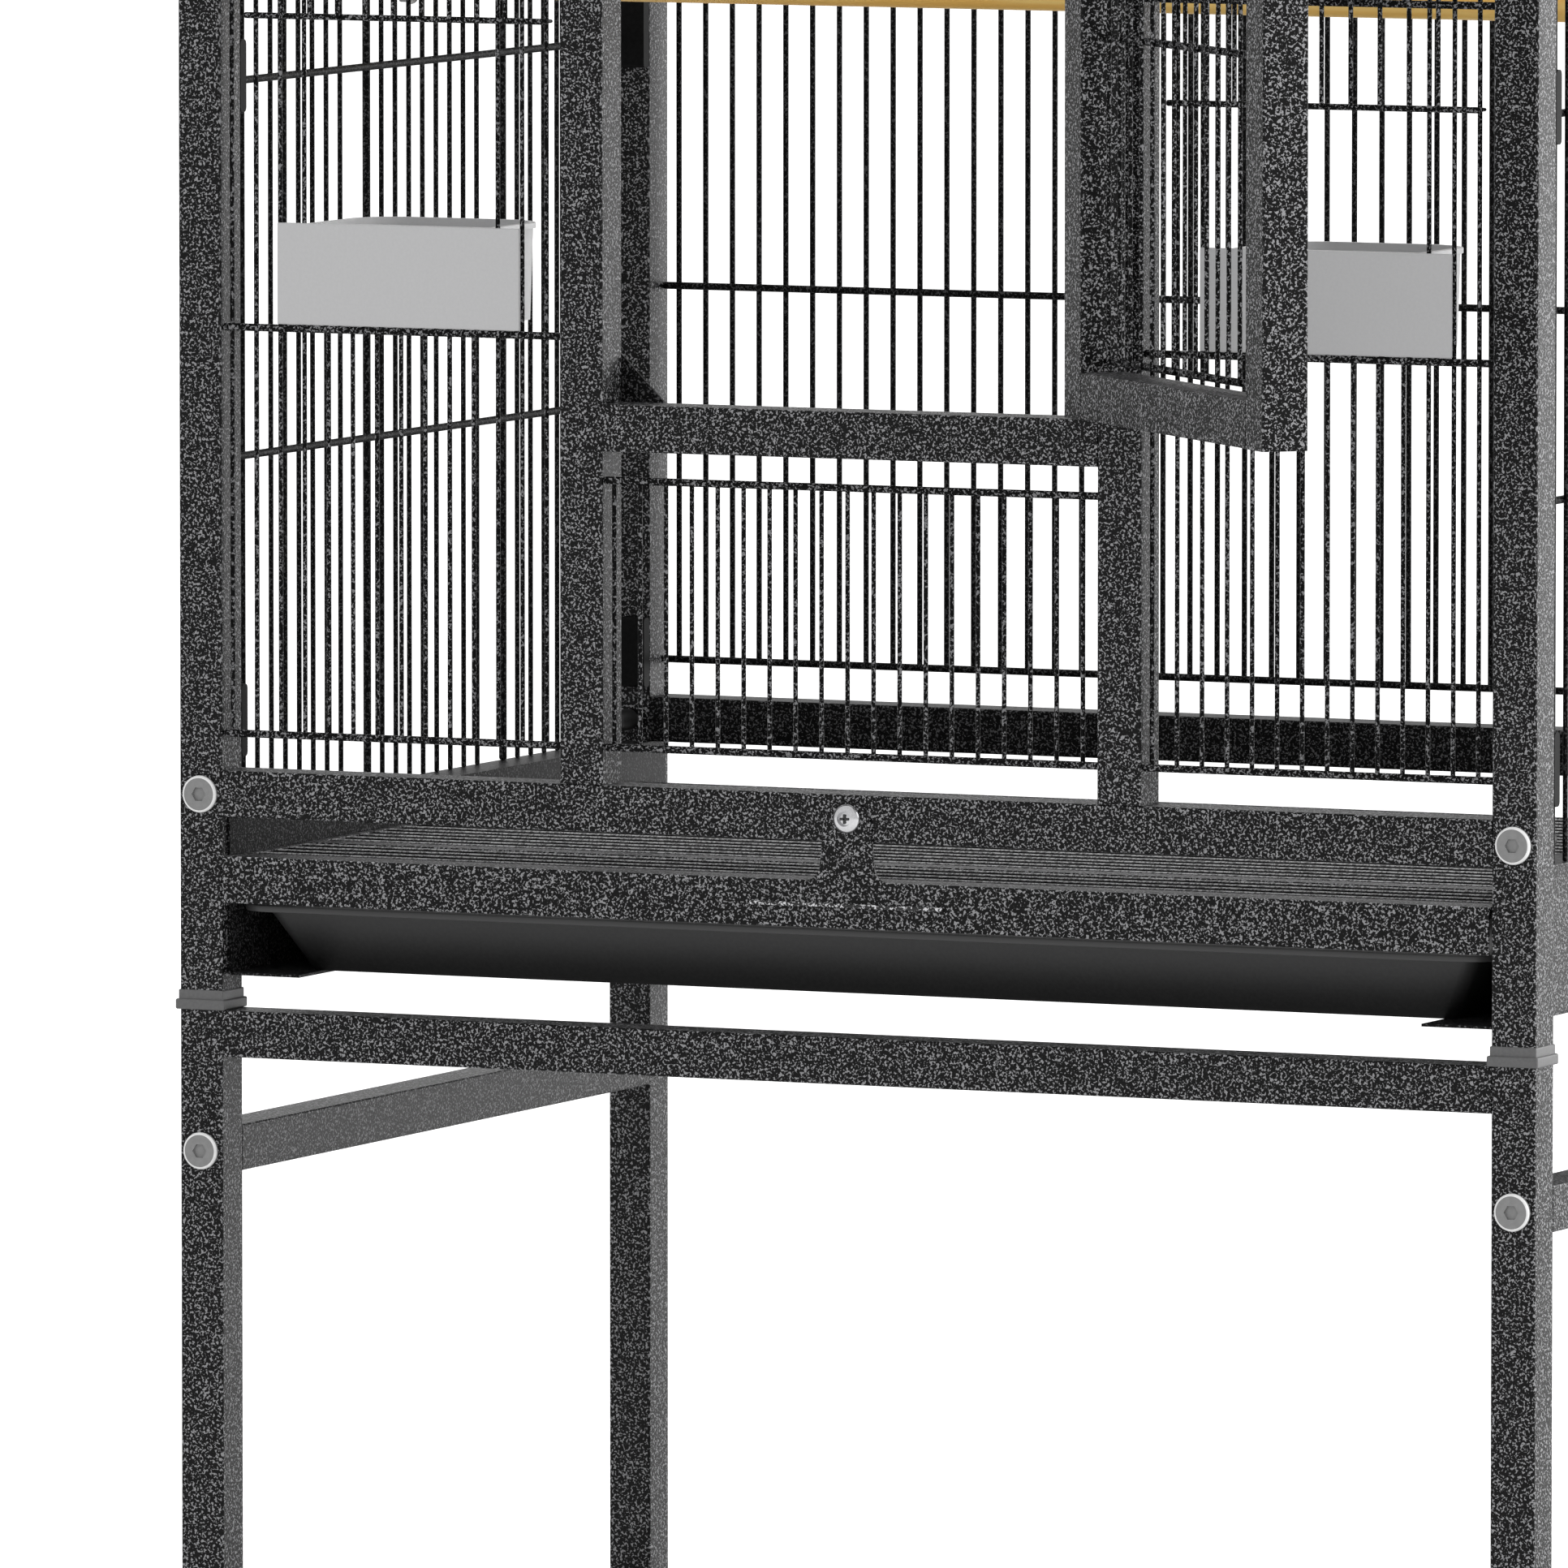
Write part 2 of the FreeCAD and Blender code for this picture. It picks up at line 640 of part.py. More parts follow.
door_clear = door_opening - 2 * size["door_gap"] - 2 * size["tube"]
DOOR_WIRES = round(door_clear / size["door_pitch"])
DOOR_UPRIGHT = f"({DOOR_FACE} + tube / 2)"
DOOR_CROSS = f"({DOOR_UPRIGHT} - front_wire_radius - cross_wire_radius - weld_gap)"
door_span = f"({DOOR_WIDTH} - 2 * tube)"
DOOR_WIRE_LOW = f"({DOOR_LOW} + tube + door_cross_edge)"
DOOR_WIRE_HIGH = f"({DOOR_LOW} + {DOOR_HEIGHT} - tube - door_cross_edge)"
door_wires = [
    wire("x", "y", "cross_wire_radius", door_span, (f"{DOOR_LEFT} + tube", DOOR_CROSS, z))
    for z in (DOOR_WIRE_LOW, f"{DOOR_LOW} + {DOOR_HEIGHT} / 2", DOOR_WIRE_HIGH)
]
door_start = (f"{DOOR_LEFT} + tube", DOOR_UPRIGHT, f"{DOOR_WIRE_LOW} - wire_tip")
door_length = f"{DOOR_WIRE_HIGH} - {DOOR_WIRE_LOW} + 2 * wire_tip"
door_wires += wire_row("z", "y", "front_wire_radius", door_length, door_start, "x", door_span, DOOR_WIRES)
on_door(group(*door_wires), "door_wires")


def strap(z):
    """A strap on the door's face with an eye over the knuckle and a pin down into it."""
    top = f"({z} + hinge_length)"
    eye = rod("z", "hinge_eye_radius", "strap_height", ("0", "0", top))
    reach = "(hinge_inset + door_gap + strap_reach)"
    plate_size = (reach, f"{DOOR_FACE}", "strap_height")
    plate = box(plate_size, (f"-{reach}", "0", top))
    pin = rod("z", "hinge_pin_radius", "hinge_length + strap_height", ("0", "0", z))
    return fuse(eye, plate, pin)


on_door(group(*[strap(z) for z in HINGES]), "door_hinge_straps")

# Latch: a bolt in a guide on the door's free stile, and its keeper on the left jamb
LATCH_Z = f"({DOOR_LOW} + latch_height)"
LATCH_Y = f"({DOOR_FACE} - latch_radius - latch_block / 4)"
LATCH_LENGTH = "(tube + latch_block)"
GUIDE_SIZE = ("latch_block", "2 * (latch_radius + latch_block / 4)", "latch_block")


def latch_eye(x, y, z, size_xyz):
    """A block on a flat face, bored for the latch bolt."""
    block = box(size_xyz, (x, f"{y} - latch_radius - latch_block / 4", f"{z} - latch_block / 2"))
    bore = flat_rod("x", "latch_radius + latch_play", size_xyz[0], (x, y, z))
    return cut(block, bore)


on_door(group(latch_eye(f"{DOOR_LEFT} + latch_play", LATCH_Y, LATCH_Z, GUIDE_SIZE)), "latch_guide")
LATCH_REST = f"({DOOR_LEFT} + door_gap)"
latch_rod = flat_rod("x", "latch_radius", LATCH_LENGTH, (LATCH_REST, LATCH_Y, LATCH_Z))
knob_start = (f"{LATCH_REST} + {LATCH_LENGTH}", LATCH_Y, LATCH_Z)
latch_knob = flat_rod("x", "latch_knob_radius", "latch_block", knob_start, HEAD_SIDE_COUNT)
on_door(fuse(latch_rod, latch_knob), "latch_bolt")
KEEPER_X = f"({OPEN_LEFT} - latch_block - door_gap)"
keeper_bolt_y = f"({HINGE_Y} + {LATCH_Y})"
keeper_block = box(
    ("latch_block", f"{FRONT} - {keeper_bolt_y} + latch_radius + latch_block / 4", "latch_block"),
    (KEEPER_X, f"{keeper_bolt_y} - latch_radius - latch_block / 4", f"{LATCH_Z} - latch_block / 2"),
)
keeper_bore = flat_rod("x", "latch_radius + latch_play", "latch_block", (KEEPER_X, keeper_bolt_y, LATCH_Z))
sub_part(cut(keeper_block, keeper_bore), "latch_keeper")

# Lifting feeder doors in front of the bay wires, with eyes round two of them
FEEDER_BAR_Y = f"({FRONT_CROSS} - cross_wire_radius - feeder_bar_gap - feeder_bar_radius)"
FEEDER_WIRE_Y = f"({FEEDER_BAR_Y} - feeder_bar_radius - feeder_wire_radius - weld_gap)"
GUIDED_WIRES = (OPENING_FIRST - 3, OPENING_FIRST + OPENING_WIRES + 2)
FEEDER_WIDTH = f"({BAY_STEP} * {GUIDED_WIRES[1] - GUIDED_WIRES[0]})"


def guide_eye(bay, index, z):
    """A flat eye round one upright wire, reaching back from a bar of the door."""
    x = f"({bay} + {BAY_STEP} * {index + 0.5} + front_wire_shift)"
    front = f"({FEEDER_BAR_Y} + feeder_bar_radius + weld_gap)"
    depth = f"{FRONT_UPRIGHT} + eye_half - {front}"
    plate = box(("2 * eye_half", depth, "eye_sheet"), (f"{x} - eye_half", front, f"{z} - eye_sheet / 2"))
    hole_start = (x, FRONT_UPRIGHT, f"{z} - eye_sheet / 2")
    hole = flat_rod("z", "front_wire_radius + eye_play", "eye_sheet", hole_start)
    return cut(plate, hole)


def feeder_door(label, bay, lift):
    centre = f"({bay} + {OPENING_CENTRE})"
    low = f"({SHELF_WIRE} + cross_wire_radius + feeder_seat + {lift})"
    bars = []
    for share, guided in ((0, True), (0.5, False), (1, True)):
        z = f"({low} + feeder_height * {share})"
        length = f"({FEEDER_WIDTH} + 2 * eye_half)"
        bar_start = (f"{centre} - {length} / 2", FEEDER_BAR_Y, z)
        bars.append(wire("x", "y", "feeder_bar_radius", length, bar_start))
        if guided:
            bars += [guide_eye(bay, index, z) for index in GUIDED_WIRES]
    span = f"(feeder_pitch * {FEEDER_WIRE_COUNT})"
    start = (f"{centre} - {span} / 2", FEEDER_WIRE_Y, f"{low} - wire_tip")
    length = "feeder_height + 2 * wire_tip"
    wires = wire_row("z", "y", "feeder_wire_radius", length, start, "x", span, FEEDER_WIRE_COUNT)
    sub_part(group(*bars, *wires), label)


feeder_door("left_feeder_door", LEFT_BAY, "left_feeder_lift")
feeder_door("right_feeder_door", RIGHT_BAY, "right_feeder_lift")


# Feeder cups: a flat plate in front of the wires and a round-cornered bowl behind it
def d_block(width, depth, height, corner, alias_radius):
    """A block whose two rear upright edges are rounded."""
    base = box((width, depth, height), corner)
    doc.recompute()
    rear = base.Shape.BoundBox.YMax

    def at_rear(edge):
        return upright_edge(edge) and abs(edge.Vertexes[0].Y - rear) < 1e-6

    return round_edges(base, alias_radius, at_rear)


def cup(label, bay):
    centre = f"({bay} + {OPENING_CENTRE})"
    plate_y = f"({FRONT_CROSS} - cup_plate_sheet / 2)"
    plate_z = f"({SHELF_WIRE} + cross_wire_radius + cup_seat_gap)"
    plate_corner = (f"{centre} - cup_plate_width / 2", plate_y, plate_z)
    plate = box(("cup_plate_width", "cup_plate_sheet", "cup_plate_height"), plate_corner)
    bowl_y = f"({plate_y} + cup_plate_sheet)"
    top = f"({plate_z} + cup_plate_height)"
    width = f"({OPENING_CLEAR} - 2 * cup_side_gap)"
    bowl_corner = (f"{centre} - {width} / 2", bowl_y, f"{top} - cup_height")
    bowl = d_block(width, "cup_depth", "cup_height", bowl_corner, "cup_corner")
    rim_width = f"({width} + 2 * cup_rim)"
    rim_corner = (f"{centre} - {rim_width} / 2", bowl_y, f"{top} - cup_rim_height")
    rim = d_block(rim_width, "cup_depth + cup_rim", "cup_rim_height", rim_corner, "cup_corner")
    hollow_width = f"({width} - 2 * cup_wall)"
    hollow_corner = (f"{centre} - {hollow_width} / 2", bowl_y, f"{top} - cup_height + cup_wall")
    hollow = d_block(hollow_width, "cup_depth - cup_wall", "cup_height", hollow_corner, "cup_corner")
    sub_part(cut(fuse(plate, bowl, rim), hollow), label)


cup("left_cup", LEFT_BAY)
cup("right_cup", RIGHT_BAY)

# Grate: folded flap with the screw tab, edge bars, cross strip and wires along X
GRATE_TOP = f"({LEG_TOP} + grate_top)"
FLAP_HALF = f"({INNER_WIDTH} / 2 - flap_side_gap)"
FLAP_LOW = f"({GRATE_TOP} - flap_height)"
TAB_TOP = f"({GRATE_TOP} + tab_height)"
GRATE_HALF = f"({INNER_WIDTH} / 2 - runner_sheet - grate_side_gap)"
GRATE_FRONT = f"({FRONT} + flap_lip)"
GRATE_REAR = f"({INNER_REAR} - grate_rear_gap)"

flap = new_body()
flap_points = [
    (f"-{FLAP_HALF}", FLAP_LOW),
    (FLAP_HALF, FLAP_LOW),
    (FLAP_HALF, GRATE_TOP),
    ("tab_base_width / 2", GRATE_TOP),
    ("tab_top_width / 2", TAB_TOP),
    ("-tab_top_width / 2", TAB_TOP),
    ("-tab_base_width / 2", GRATE_TOP),
    (f"-{FLAP_HALF}", GRATE_TOP),
]
pad(flap, polygon(flap, "XZ_Plane", flap_points), "flap_sheet")
lip_points = [
    (f"-{FLAP_HALF}", f"{GRATE_TOP} - flap_sheet"),
    (FLAP_HALF, f"{GRATE_TOP} - flap_sheet"),
    (FLAP_HALF, GRATE_TOP),
    (f"-{FLAP_HALF}", GRATE_TOP),
]
pad(flap, polygon(flap, "XZ_Plane", lip_points), "runner_setback - flap_side_gap", backward=True)
place(flap, y=FRONT)


def tab_corner(edge):
    """True for the two short edges at the top of the tab."""
    level = edge.BoundBox.ZLength < 1e-6 and edge.BoundBox.XLength < 1e-6
    return level and abs(edge.BoundBox.ZMax - flap.Shape.BoundBox.ZMax) < 1e-6


round_flap = round_edges(flap, "tab_corner", tab_corner)
tab_hole_start = ("0", f"{FRONT} - flap_sheet", SCREW_HEIGHT)
tab_hole = flat_rod("y", "screw_radius + bolt_play", "flap_sheet", tab_hole_start)
bar_z = f"({GRATE_TOP} - grate_bar)"
BAR_FRONT = f"({FRONT} + runner_setback - flap_side_gap)"
bars = [
    box(("grate_bar", f"{GRATE_REAR} - {BAR_FRONT}", "grate_bar"), (x, BAR_FRONT, bar_z))
    for x in (f"-{GRATE_HALF}", f"{GRATE_HALF} - grate_bar")
]
GRATE_CLEAR = f"(2 * {GRATE_HALF} - 2 * grate_bar)"
GRATE_LEFT = f"(grate_bar - {GRATE_HALF})"
front_bar_size = (GRATE_CLEAR, f"{GRATE_FRONT} - {BAR_FRONT}", "flap_sheet")
bars.append(box(front_bar_size, (GRATE_LEFT, BAR_FRONT, f"{GRATE_TOP} - flap_sheet")))
bars.append(box((GRATE_CLEAR, "grate_bar", "grate_bar"), (GRATE_LEFT, f"{GRATE_REAR} - grate_bar", bar_z)))
STRIP_Y = f"({FRONT} + grate_strip_setback - grate_strip_width / 2)"
strip_size = (GRATE_CLEAR, "grate_strip_width", "grate_strip_sheet")
bars.append(box(strip_size, (GRATE_LEFT, STRIP_Y, f"{GRATE_TOP} - grate_strip_sheet")))
sub_part(group(cut(round_flap, tab_hole), *bars), "grate_frame")

GRATE_WIRE_Z = f"({GRATE_TOP} - grate_wire_radius)"


def grate_field(front, rear, count):
    start = (GRATE_LEFT, front, GRATE_WIRE_Z)
    return wire_row("x", "z", "grate_wire_radius", GRATE_CLEAR, start, "y", f"({rear} - {front})", count)


front_field = size["grate_strip_setback"] - size["grate_strip_width"] / 2 - size["flap_lip"]
rear_field = (
    size["cage_depth"] - size["tube"] - size["grate_rear_gap"] - size["grate_bar"]
    - size["grate_strip_setback"] - size["grate_strip_width"] / 2
)
grate_wires = grate_field(GRATE_FRONT, STRIP_Y, round(front_field / size["grate_pitch"]))
rear_count = round(rear_field / size["grate_pitch"])
grate_wires += grate_field(f"({STRIP_Y} + grate_strip_width)", f"({GRATE_REAR} - grate_bar)", rear_count)
sub_part(group(*grate_wires), "grate_wires")

head = doc.addObject("Part::Cone", "head")
head.Placement = FreeCAD.Placement(FreeCAD.Vector(), FreeCAD.Rotation(FreeCAD.Vector(1, 0, 0), 90))
bind(head, "Radius1", "screw_head_radius")
bind(head, "Radius2", "screw_crown_radius")
bind(head, "Height", "screw_head_height")
place(head, "0", f"{FRONT} - flap_sheet", SCREW_HEIGHT)
shank_start = ("0", f"{FRONT} - flap_sheet", SCREW_HEIGHT)
shank = flat_rod("y", "screw_radius", "screw_length", shank_start)
sub_part(fuse(head, shank), "grate_screw")


# Tray: tapered pan with a flat rim, carried on the runners' lower flanges
TRAY_LOW = f"({LEG_TOP} + runner_foot + runner_sheet)"
TRAY_HALF_X = f"({INNER_WIDTH} / 2 - runner_sheet - tray_side_gap)"
TRAY_HALF_Y = "(cage_depth / 2 - tray_setback)"
PAN_INSET = "(tray_rim_width + tray_wall_run)"


def pan(low, inset, rise):
    """A solid pan with sloping sides and rounded corners."""
    body = new_body()
    half_x = f"({TRAY_HALF_X} - {inset})"
    half_y = f"({TRAY_HALF_Y} - {inset})"
    points = [(f"-{half_x}", f"-{half_y}"), (half_x, f"-{half_y}"), (half_x, half_y), (f"-{half_x}", half_y)]
    block = pad(body, polygon(body, "XY_Plane", points), rise)
    bind(block, "TaperAngle", "atan(tray_wall_run / tray_height)")
    place(body, z=low)
    doc.recompute()
    corners = [number for number, edge in enumerate(block.Shape.Edges, 1) if upright_edge(edge)]
    rounding = body.newObject("PartDesign::Fillet", "corners")
    rounding.Base = (block, [f"Edge{number}" for number in corners])
    bind(rounding, "Radius", "tray_corner")
    return body


rim_size = (f"2 * {TRAY_HALF_X}", f"2 * {TRAY_HALF_Y}", "tray_rim_sheet")
rim_corner = (f"-{TRAY_HALF_X}", f"-{TRAY_HALF_Y}", f"{TRAY_LOW} + tray_height - tray_rim_sheet")
rim_plate = round_edges(box(rim_size, rim_corner), "tray_corner", upright_edge)
inner_inset = f"({PAN_INSET} + tray_wall - tray_wall * tray_wall_run / tray_height)"
tray_hollow = pan(f"{TRAY_LOW} + tray_wall", inner_inset, "tray_height")
sub_part(cut(fuse(pan(TRAY_LOW, PAN_INSET, "tray_height"), rim_plate), tray_hollow), "tray")

# Perch between the side panels, held by a screw, washer and nut at each end
PERCH_Z = f"({LEG_TOP} + perch_height + perch_radius)"
PERCH_HALF = "(cage_width / 2 - side_wire_setback - side_guide_radius - perch_end_gap)"
PERCH_BORE = "perch_screw_radius + bolt_play"
perch_bar = rod("x", "perch_radius", f"2 * {PERCH_HALF}", (f"-{PERCH_HALF}", "0", PERCH_Z))
fixings = []
perch_bores = []
WASHER_HALF = f"({PERCH_HALF} + 2 * perch_end_gap + 2 * side_wire_radius)"
for start_sign, side in (("-", "left"), ("", "right")):
    outer = "perch_washer_sheet + perch_nut_length"
    shift = {"left": f" - ({outer})", "right": ""}[side]
    washer_shift = {"left": " - perch_washer_sheet", "right": ""}[side]
    nut_shift = {"left": f" - ({outer})", "right": " + perch_washer_sheet"}[side]
    screw_length = f"{WASHER_HALF} - {PERCH_HALF} + 3 * perch_radius + {outer}"
    inner_start = {"left": f"-{WASHER_HALF}{shift}", "right": f"{PERCH_HALF} - 3 * perch_radius"}[side]
    bolt = flat_rod("x", "perch_screw_radius", screw_length, (inner_start, "0", PERCH_Z))
    washer_start = (f"{start_sign}{WASHER_HALF}{washer_shift}", "0", PERCH_Z)
    washer = flat_rod("x", "perch_washer_radius", "perch_washer_sheet", washer_start, HEAD_SIDE_COUNT)
    nut_start = (f"{start_sign}{WASHER_HALF}{nut_shift}", "0", PERCH_Z)
    nut = flat_rod("x", "perch_nut_radius", "perch_nut_length", nut_start, HEAD_SIDE_COUNT)
    fixings.append(fuse(bolt, washer, nut))
    bore_start = {"left": f"-{PERCH_HALF}", "right": f"{PERCH_HALF} - 3 * perch_radius"}[side]
    perch_bores.append(flat_rod("x", PERCH_BORE, "3 * perch_radius", (bore_start, "0", PERCH_Z)))
sub_part(cut(perch_bar, *perch_bores), "perch")
sub_part(group(*fixings), "perch_fixings")


# Bolts through the posts and legs, each with a flat round head and a barrel nut
def bolt_and_nut(x, z, front):
    face = FRONT if front else REAR
    head_y = f"{face} - bolt_head_height" if front else face
    bolt_head = flat_rod("y", "bolt_head_radius", "bolt_head_height", (x, head_y, z), HEAD_SIDE_COUNT)
    shank_y = face if front else f"{face} - bolt_length"
    bolt_shank = flat_rod("y", "bolt_radius", "bolt_length", (x, shank_y, z))
    nut_y = f"{face} + tube" if front else f"{face} - tube - nut_length"
    nut = flat_rod("y", "nut_radius", "nut_length", (x, nut_y, z))
    return fuse(bolt_head, bolt_shank, nut)


bolts = [
    bolt_and_nut(x, z, front)
    for x in (LEFT_POST_X, RIGHT_POST_X)
    for z in (FRAME_BOLT, TOP_BOLT, STAND_BOLT)
    for front in (True, False)
]
sub_part(group(*bolts), "frame_bolts")


# Plastic collars between legs and posts, caps on top of the posts
def square(side, height, x, y, z):
    """A square block centred on a post."""
    return box((side, side, height), (f"{x} - ({side}) / 2", f"{y} - ({side}) / 2", z))


PLUG_SIDE = "tube - 2 * tube_wall - 2 * plug_play"
POST_ROWS = (f"({FRONT} + tube / 2)", f"({REAR} - tube / 2)")
corners_xy = [(x, y) for x in (LEFT_POST_X, RIGHT_POST_X) for y in POST_ROWS]
collars = []
caps = []
for x, y in corners_xy:
    lower = square("tube + 2 * collar_lip", "collar_step", x, y, LEG_TOP)
    upper_height = "collar_height - collar_step"
    upper = square("tube + 2 * collar_upper_lip", upper_height, x, y, f"{LEG_TOP} + collar_step")
    plug = square(PLUG_SIDE, "2 * collar_plug + collar_height", x, y, f"{LEG_TOP} - collar_plug")
    collars.append(fuse(lower, upper, plug))
    cap_top = square("tube", "cap_height", x, y, CAGE_TOP)
    caps.append(fuse(cap_top, square(PLUG_SIDE, "cap_plug", x, y, f"{CAGE_TOP} - cap_plug")))
sub_part(group(*collars), "leg_collars")
sub_part(group(*caps), "post_caps")


# Stand legs and rails
def stand_leg(x, y):
    hole = flat_rod("y", "bolt_radius + bolt_play", "tube", (f"{x} + tube / 2", y, STAND_BOLT))
    return tube("z", "leg_length", (x, y, "caster_height"), [hole])


legs = [stand_leg(x, y) for x in (LEFT, INNER_RIGHT) for y in (FRONT, INNER_REAR)]
sub_part(group(*legs), "stand_legs")
STAND_RAIL = f"({LEG_TOP} - tube)"
cross_rails = [tube("x", INNER_WIDTH, (INNER_LEFT, y, STAND_RAIL)) for y in (FRONT, INNER_REAR)]
sub_part(group(*cross_rails), "stand_cross_rails")
STAND_SIDE = f"({STAND_BOLT} - tube / 2)"
stand_sides = [tube("y", INNER_DEPTH, (x, INNER_FRONT, STAND_SIDE)) for x in (LEFT, INNER_RIGHT)]
sub_part(group(*stand_sides), "stand_side_rails")

# Storage shelf low on the legs
SHELF = "(caster_height + shelf_height)"
shelf_rails = [tube("x", INNER_WIDTH, (INNER_LEFT, y, SHELF)) for y in (FRONT, INNER_REAR)]
shelf_rails += [tube("y", INNER_DEPTH, (x, INNER_FRONT, SHELF)) for x in (LEFT, INNER_RIGHT)]
sub_part(group(*shelf_rails), "shelf_frame")
SLAT_Z = f"({SHELF} + tube - roof_wire_drop)"
SLAT_COUNT = round(inner_width / size["slat_pitch"])
slat_start = (INNER_LEFT, INNER_FRONT, SLAT_Z)
slats = wire_row("y", "z", "slat_radius", INNER_DEPTH, slat_start, "x", INNER_WIDTH, SLAT_COUNT)
sub_part(group(*slats), "shelf_slats")

# Casters: plug in the leg, crown and fork with stem and axle, wheel
PLUG_LOW = "(caster_height - leg_plug_sheet)"
CROWN_LOW = f"({PLUG_LOW} - crown_sheet)"
FORK_HALF = "(wheel_width / 2 + fork_side_gap)"


def leg_plug(x, y):
    flange = square("tube", "leg_plug_sheet", x, y, PLUG_LOW)
    stub = square(PLUG_SIDE, "leg_plug_depth", x, y, "caster_height")
    bore = rod("z", "stem_radius + stem_fit", "leg_plug_sheet + leg_plug_depth", (x, y, PLUG_LOW))
    return cut(fuse(flange, stub), bore)


def fork(x, y):
    """Crown, stem and two cheeks that carry the axle behind the stem."""
    crown = flat_rod("z", "crown_radius", "crown_sheet", (x, y, CROWN_LOW), HEAD_SIDE_COUNT)
    stem = rod("z", "stem_radius", "stem_length", (x, y, PLUG_LOW))
    pieces = [crown, stem]
    for sign in (-1, 1):
        body = new_body()
        half = "(fork_width / 2)"
        points = [
            (f"-{half}", CROWN_LOW),
            (f"caster_trail - {half}", f"wheel_radius - {half}"),
            (f"caster_trail + {half}", f"wheel_radius - {half}"),
            (f"caster_trail + {half}", f"wheel_radius + {half}"),
            (half, CROWN_LOW),
        ]
        pad(body, polygon(body, "YZ_Plane", points), "fork_sheet")
        inner = f"{x} + {FORK_HALF}" if sign > 0 else f"{x} - {FORK_HALF} - fork_sheet"
        pieces.append(place(body, inner, y, "0"))
    axle_start = (f"{x} - {FORK_HALF} - fork_sheet", f"{y} + caster_trail", "wheel_radius")
    pieces.append(rod("x", "axle_radius", f"2 * ({FORK_HALF} + fork_sheet)", axle_start))
    return fuse(*pieces)


def wheel(x, y):
    """A tyred wheel, bored for its axle."""
    side = (f"{x} - wheel_width / 2", f"{y} + caster_trail", "wheel_radius")
    tyre = rod("x", "wheel_radius", "wheel_width", side)
    return cut(tyre, rod("x", "axle_radius + axle_fit", "wheel_width", side))


sub_part(group(*[leg_plug(x, y) for x, y in corners_xy]), "leg_plugs")
CORNER_NAMES = ("front_left", "rear_left", "front_right", "rear_right")
for corner_name, (x, y) in zip(CORNER_NAMES, corners_xy):
    sub_part(fork(x, y), f"{corner_name}_caster")
    sub_part(wheel(x, y), f"{corner_name}_wheel")

# Build, test every object, then write one file for each piece
doc.recompute()
failed = [obj.Name for obj in doc.Objects if "Invalid" in obj.State or "Error" in obj.State]
if failed:
    raise RuntimeError(f"objects that did not build: {failed}")
for piece in SUB_PARTS:
    if piece.Shape.isNull() or not piece.Shape.isValid():
        raise RuntimeError(f"{piece.Label} has no valid shape")
os.makedirs("parts", exist_ok=True)
for piece in SUB_PARTS:
    piece.Shape.exportStep(f"parts/{piece.Label}.step")
print(len(SUB_PARTS), "pieces")
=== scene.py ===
import json
from math import atan2, cos, pi, radians, sin

import bmesh
import bpy
from mathutils import Matrix, Vector


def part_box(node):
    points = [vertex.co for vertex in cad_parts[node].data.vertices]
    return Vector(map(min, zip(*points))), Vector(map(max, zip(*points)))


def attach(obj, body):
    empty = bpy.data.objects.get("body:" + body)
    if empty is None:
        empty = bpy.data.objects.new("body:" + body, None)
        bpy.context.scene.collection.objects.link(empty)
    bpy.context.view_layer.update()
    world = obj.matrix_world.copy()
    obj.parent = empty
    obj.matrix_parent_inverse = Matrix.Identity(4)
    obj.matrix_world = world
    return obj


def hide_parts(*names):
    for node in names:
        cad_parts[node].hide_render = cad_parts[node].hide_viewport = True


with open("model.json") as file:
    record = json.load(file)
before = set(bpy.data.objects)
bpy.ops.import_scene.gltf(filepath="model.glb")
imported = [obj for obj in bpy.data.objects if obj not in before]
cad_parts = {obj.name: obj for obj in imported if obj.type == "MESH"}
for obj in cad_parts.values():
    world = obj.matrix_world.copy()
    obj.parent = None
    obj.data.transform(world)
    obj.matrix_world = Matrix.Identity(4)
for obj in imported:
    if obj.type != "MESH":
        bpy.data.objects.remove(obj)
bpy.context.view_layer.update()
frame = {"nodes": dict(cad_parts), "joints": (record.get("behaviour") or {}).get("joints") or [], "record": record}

# Looks of a bird cage on a rolling stand. Lengths are millimetres in the frame's own axes:
# +Z up, X to the right, the door faces -Y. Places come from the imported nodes, and the sizes
# below are what the finished look adds to them.
MM = 0.001
NODES = frame["nodes"]
BODY_OF = {node: body for body, nodes in frame["record"]["behaviour"]["bodies"].items() for node in nodes}
X, Y, Z = range(3)
AXIS_TURN = (Matrix.Rotation(pi / 2, 4, "Y"), Matrix.Rotation(-pi / 2, 4, "X"), Matrix())
SAME_POINT = 0.002
CREASE = radians(40)
SHARP = radians(57)
ALONG = 0.99
LEVEL = 0.9
SIDEWAYS = 0.5

# Tubes, sheet and wires
TUBE = 25
TUBE_ROUND = 1.2
SHEET = 1.5
SHEET_EDGE = 0.5
WIRE_SIDES = 10
WIRE_END_SHARE = 0.55
RING_SIDES = 8
RING_STEPS = 16
SEAT_GAP = 0.05

# Hinges and latch of the main door
HINGE_EYE = 2.8
HINGE_PIN = 1.6
HINGE_EDGE = 0.6
STRAP_HEIGHT = 14.0
STRAP_EDGE = 0.8
RIVET = 2.6
RIVET_HEIGHT = 1.2
RIVET_EDGE = 0.5
RIVET_SHARES = (0.175, 0.42)
LATCH_ROD = 3.0
LATCH_ROD_EDGE = 0.8
LATCH_KNOB = 12.0
LATCH_KNOB_EDGE = 1.6
LATCH_BORE = 3.3
LATCH_EDGE = 1.5
BORE_SIDES = 32

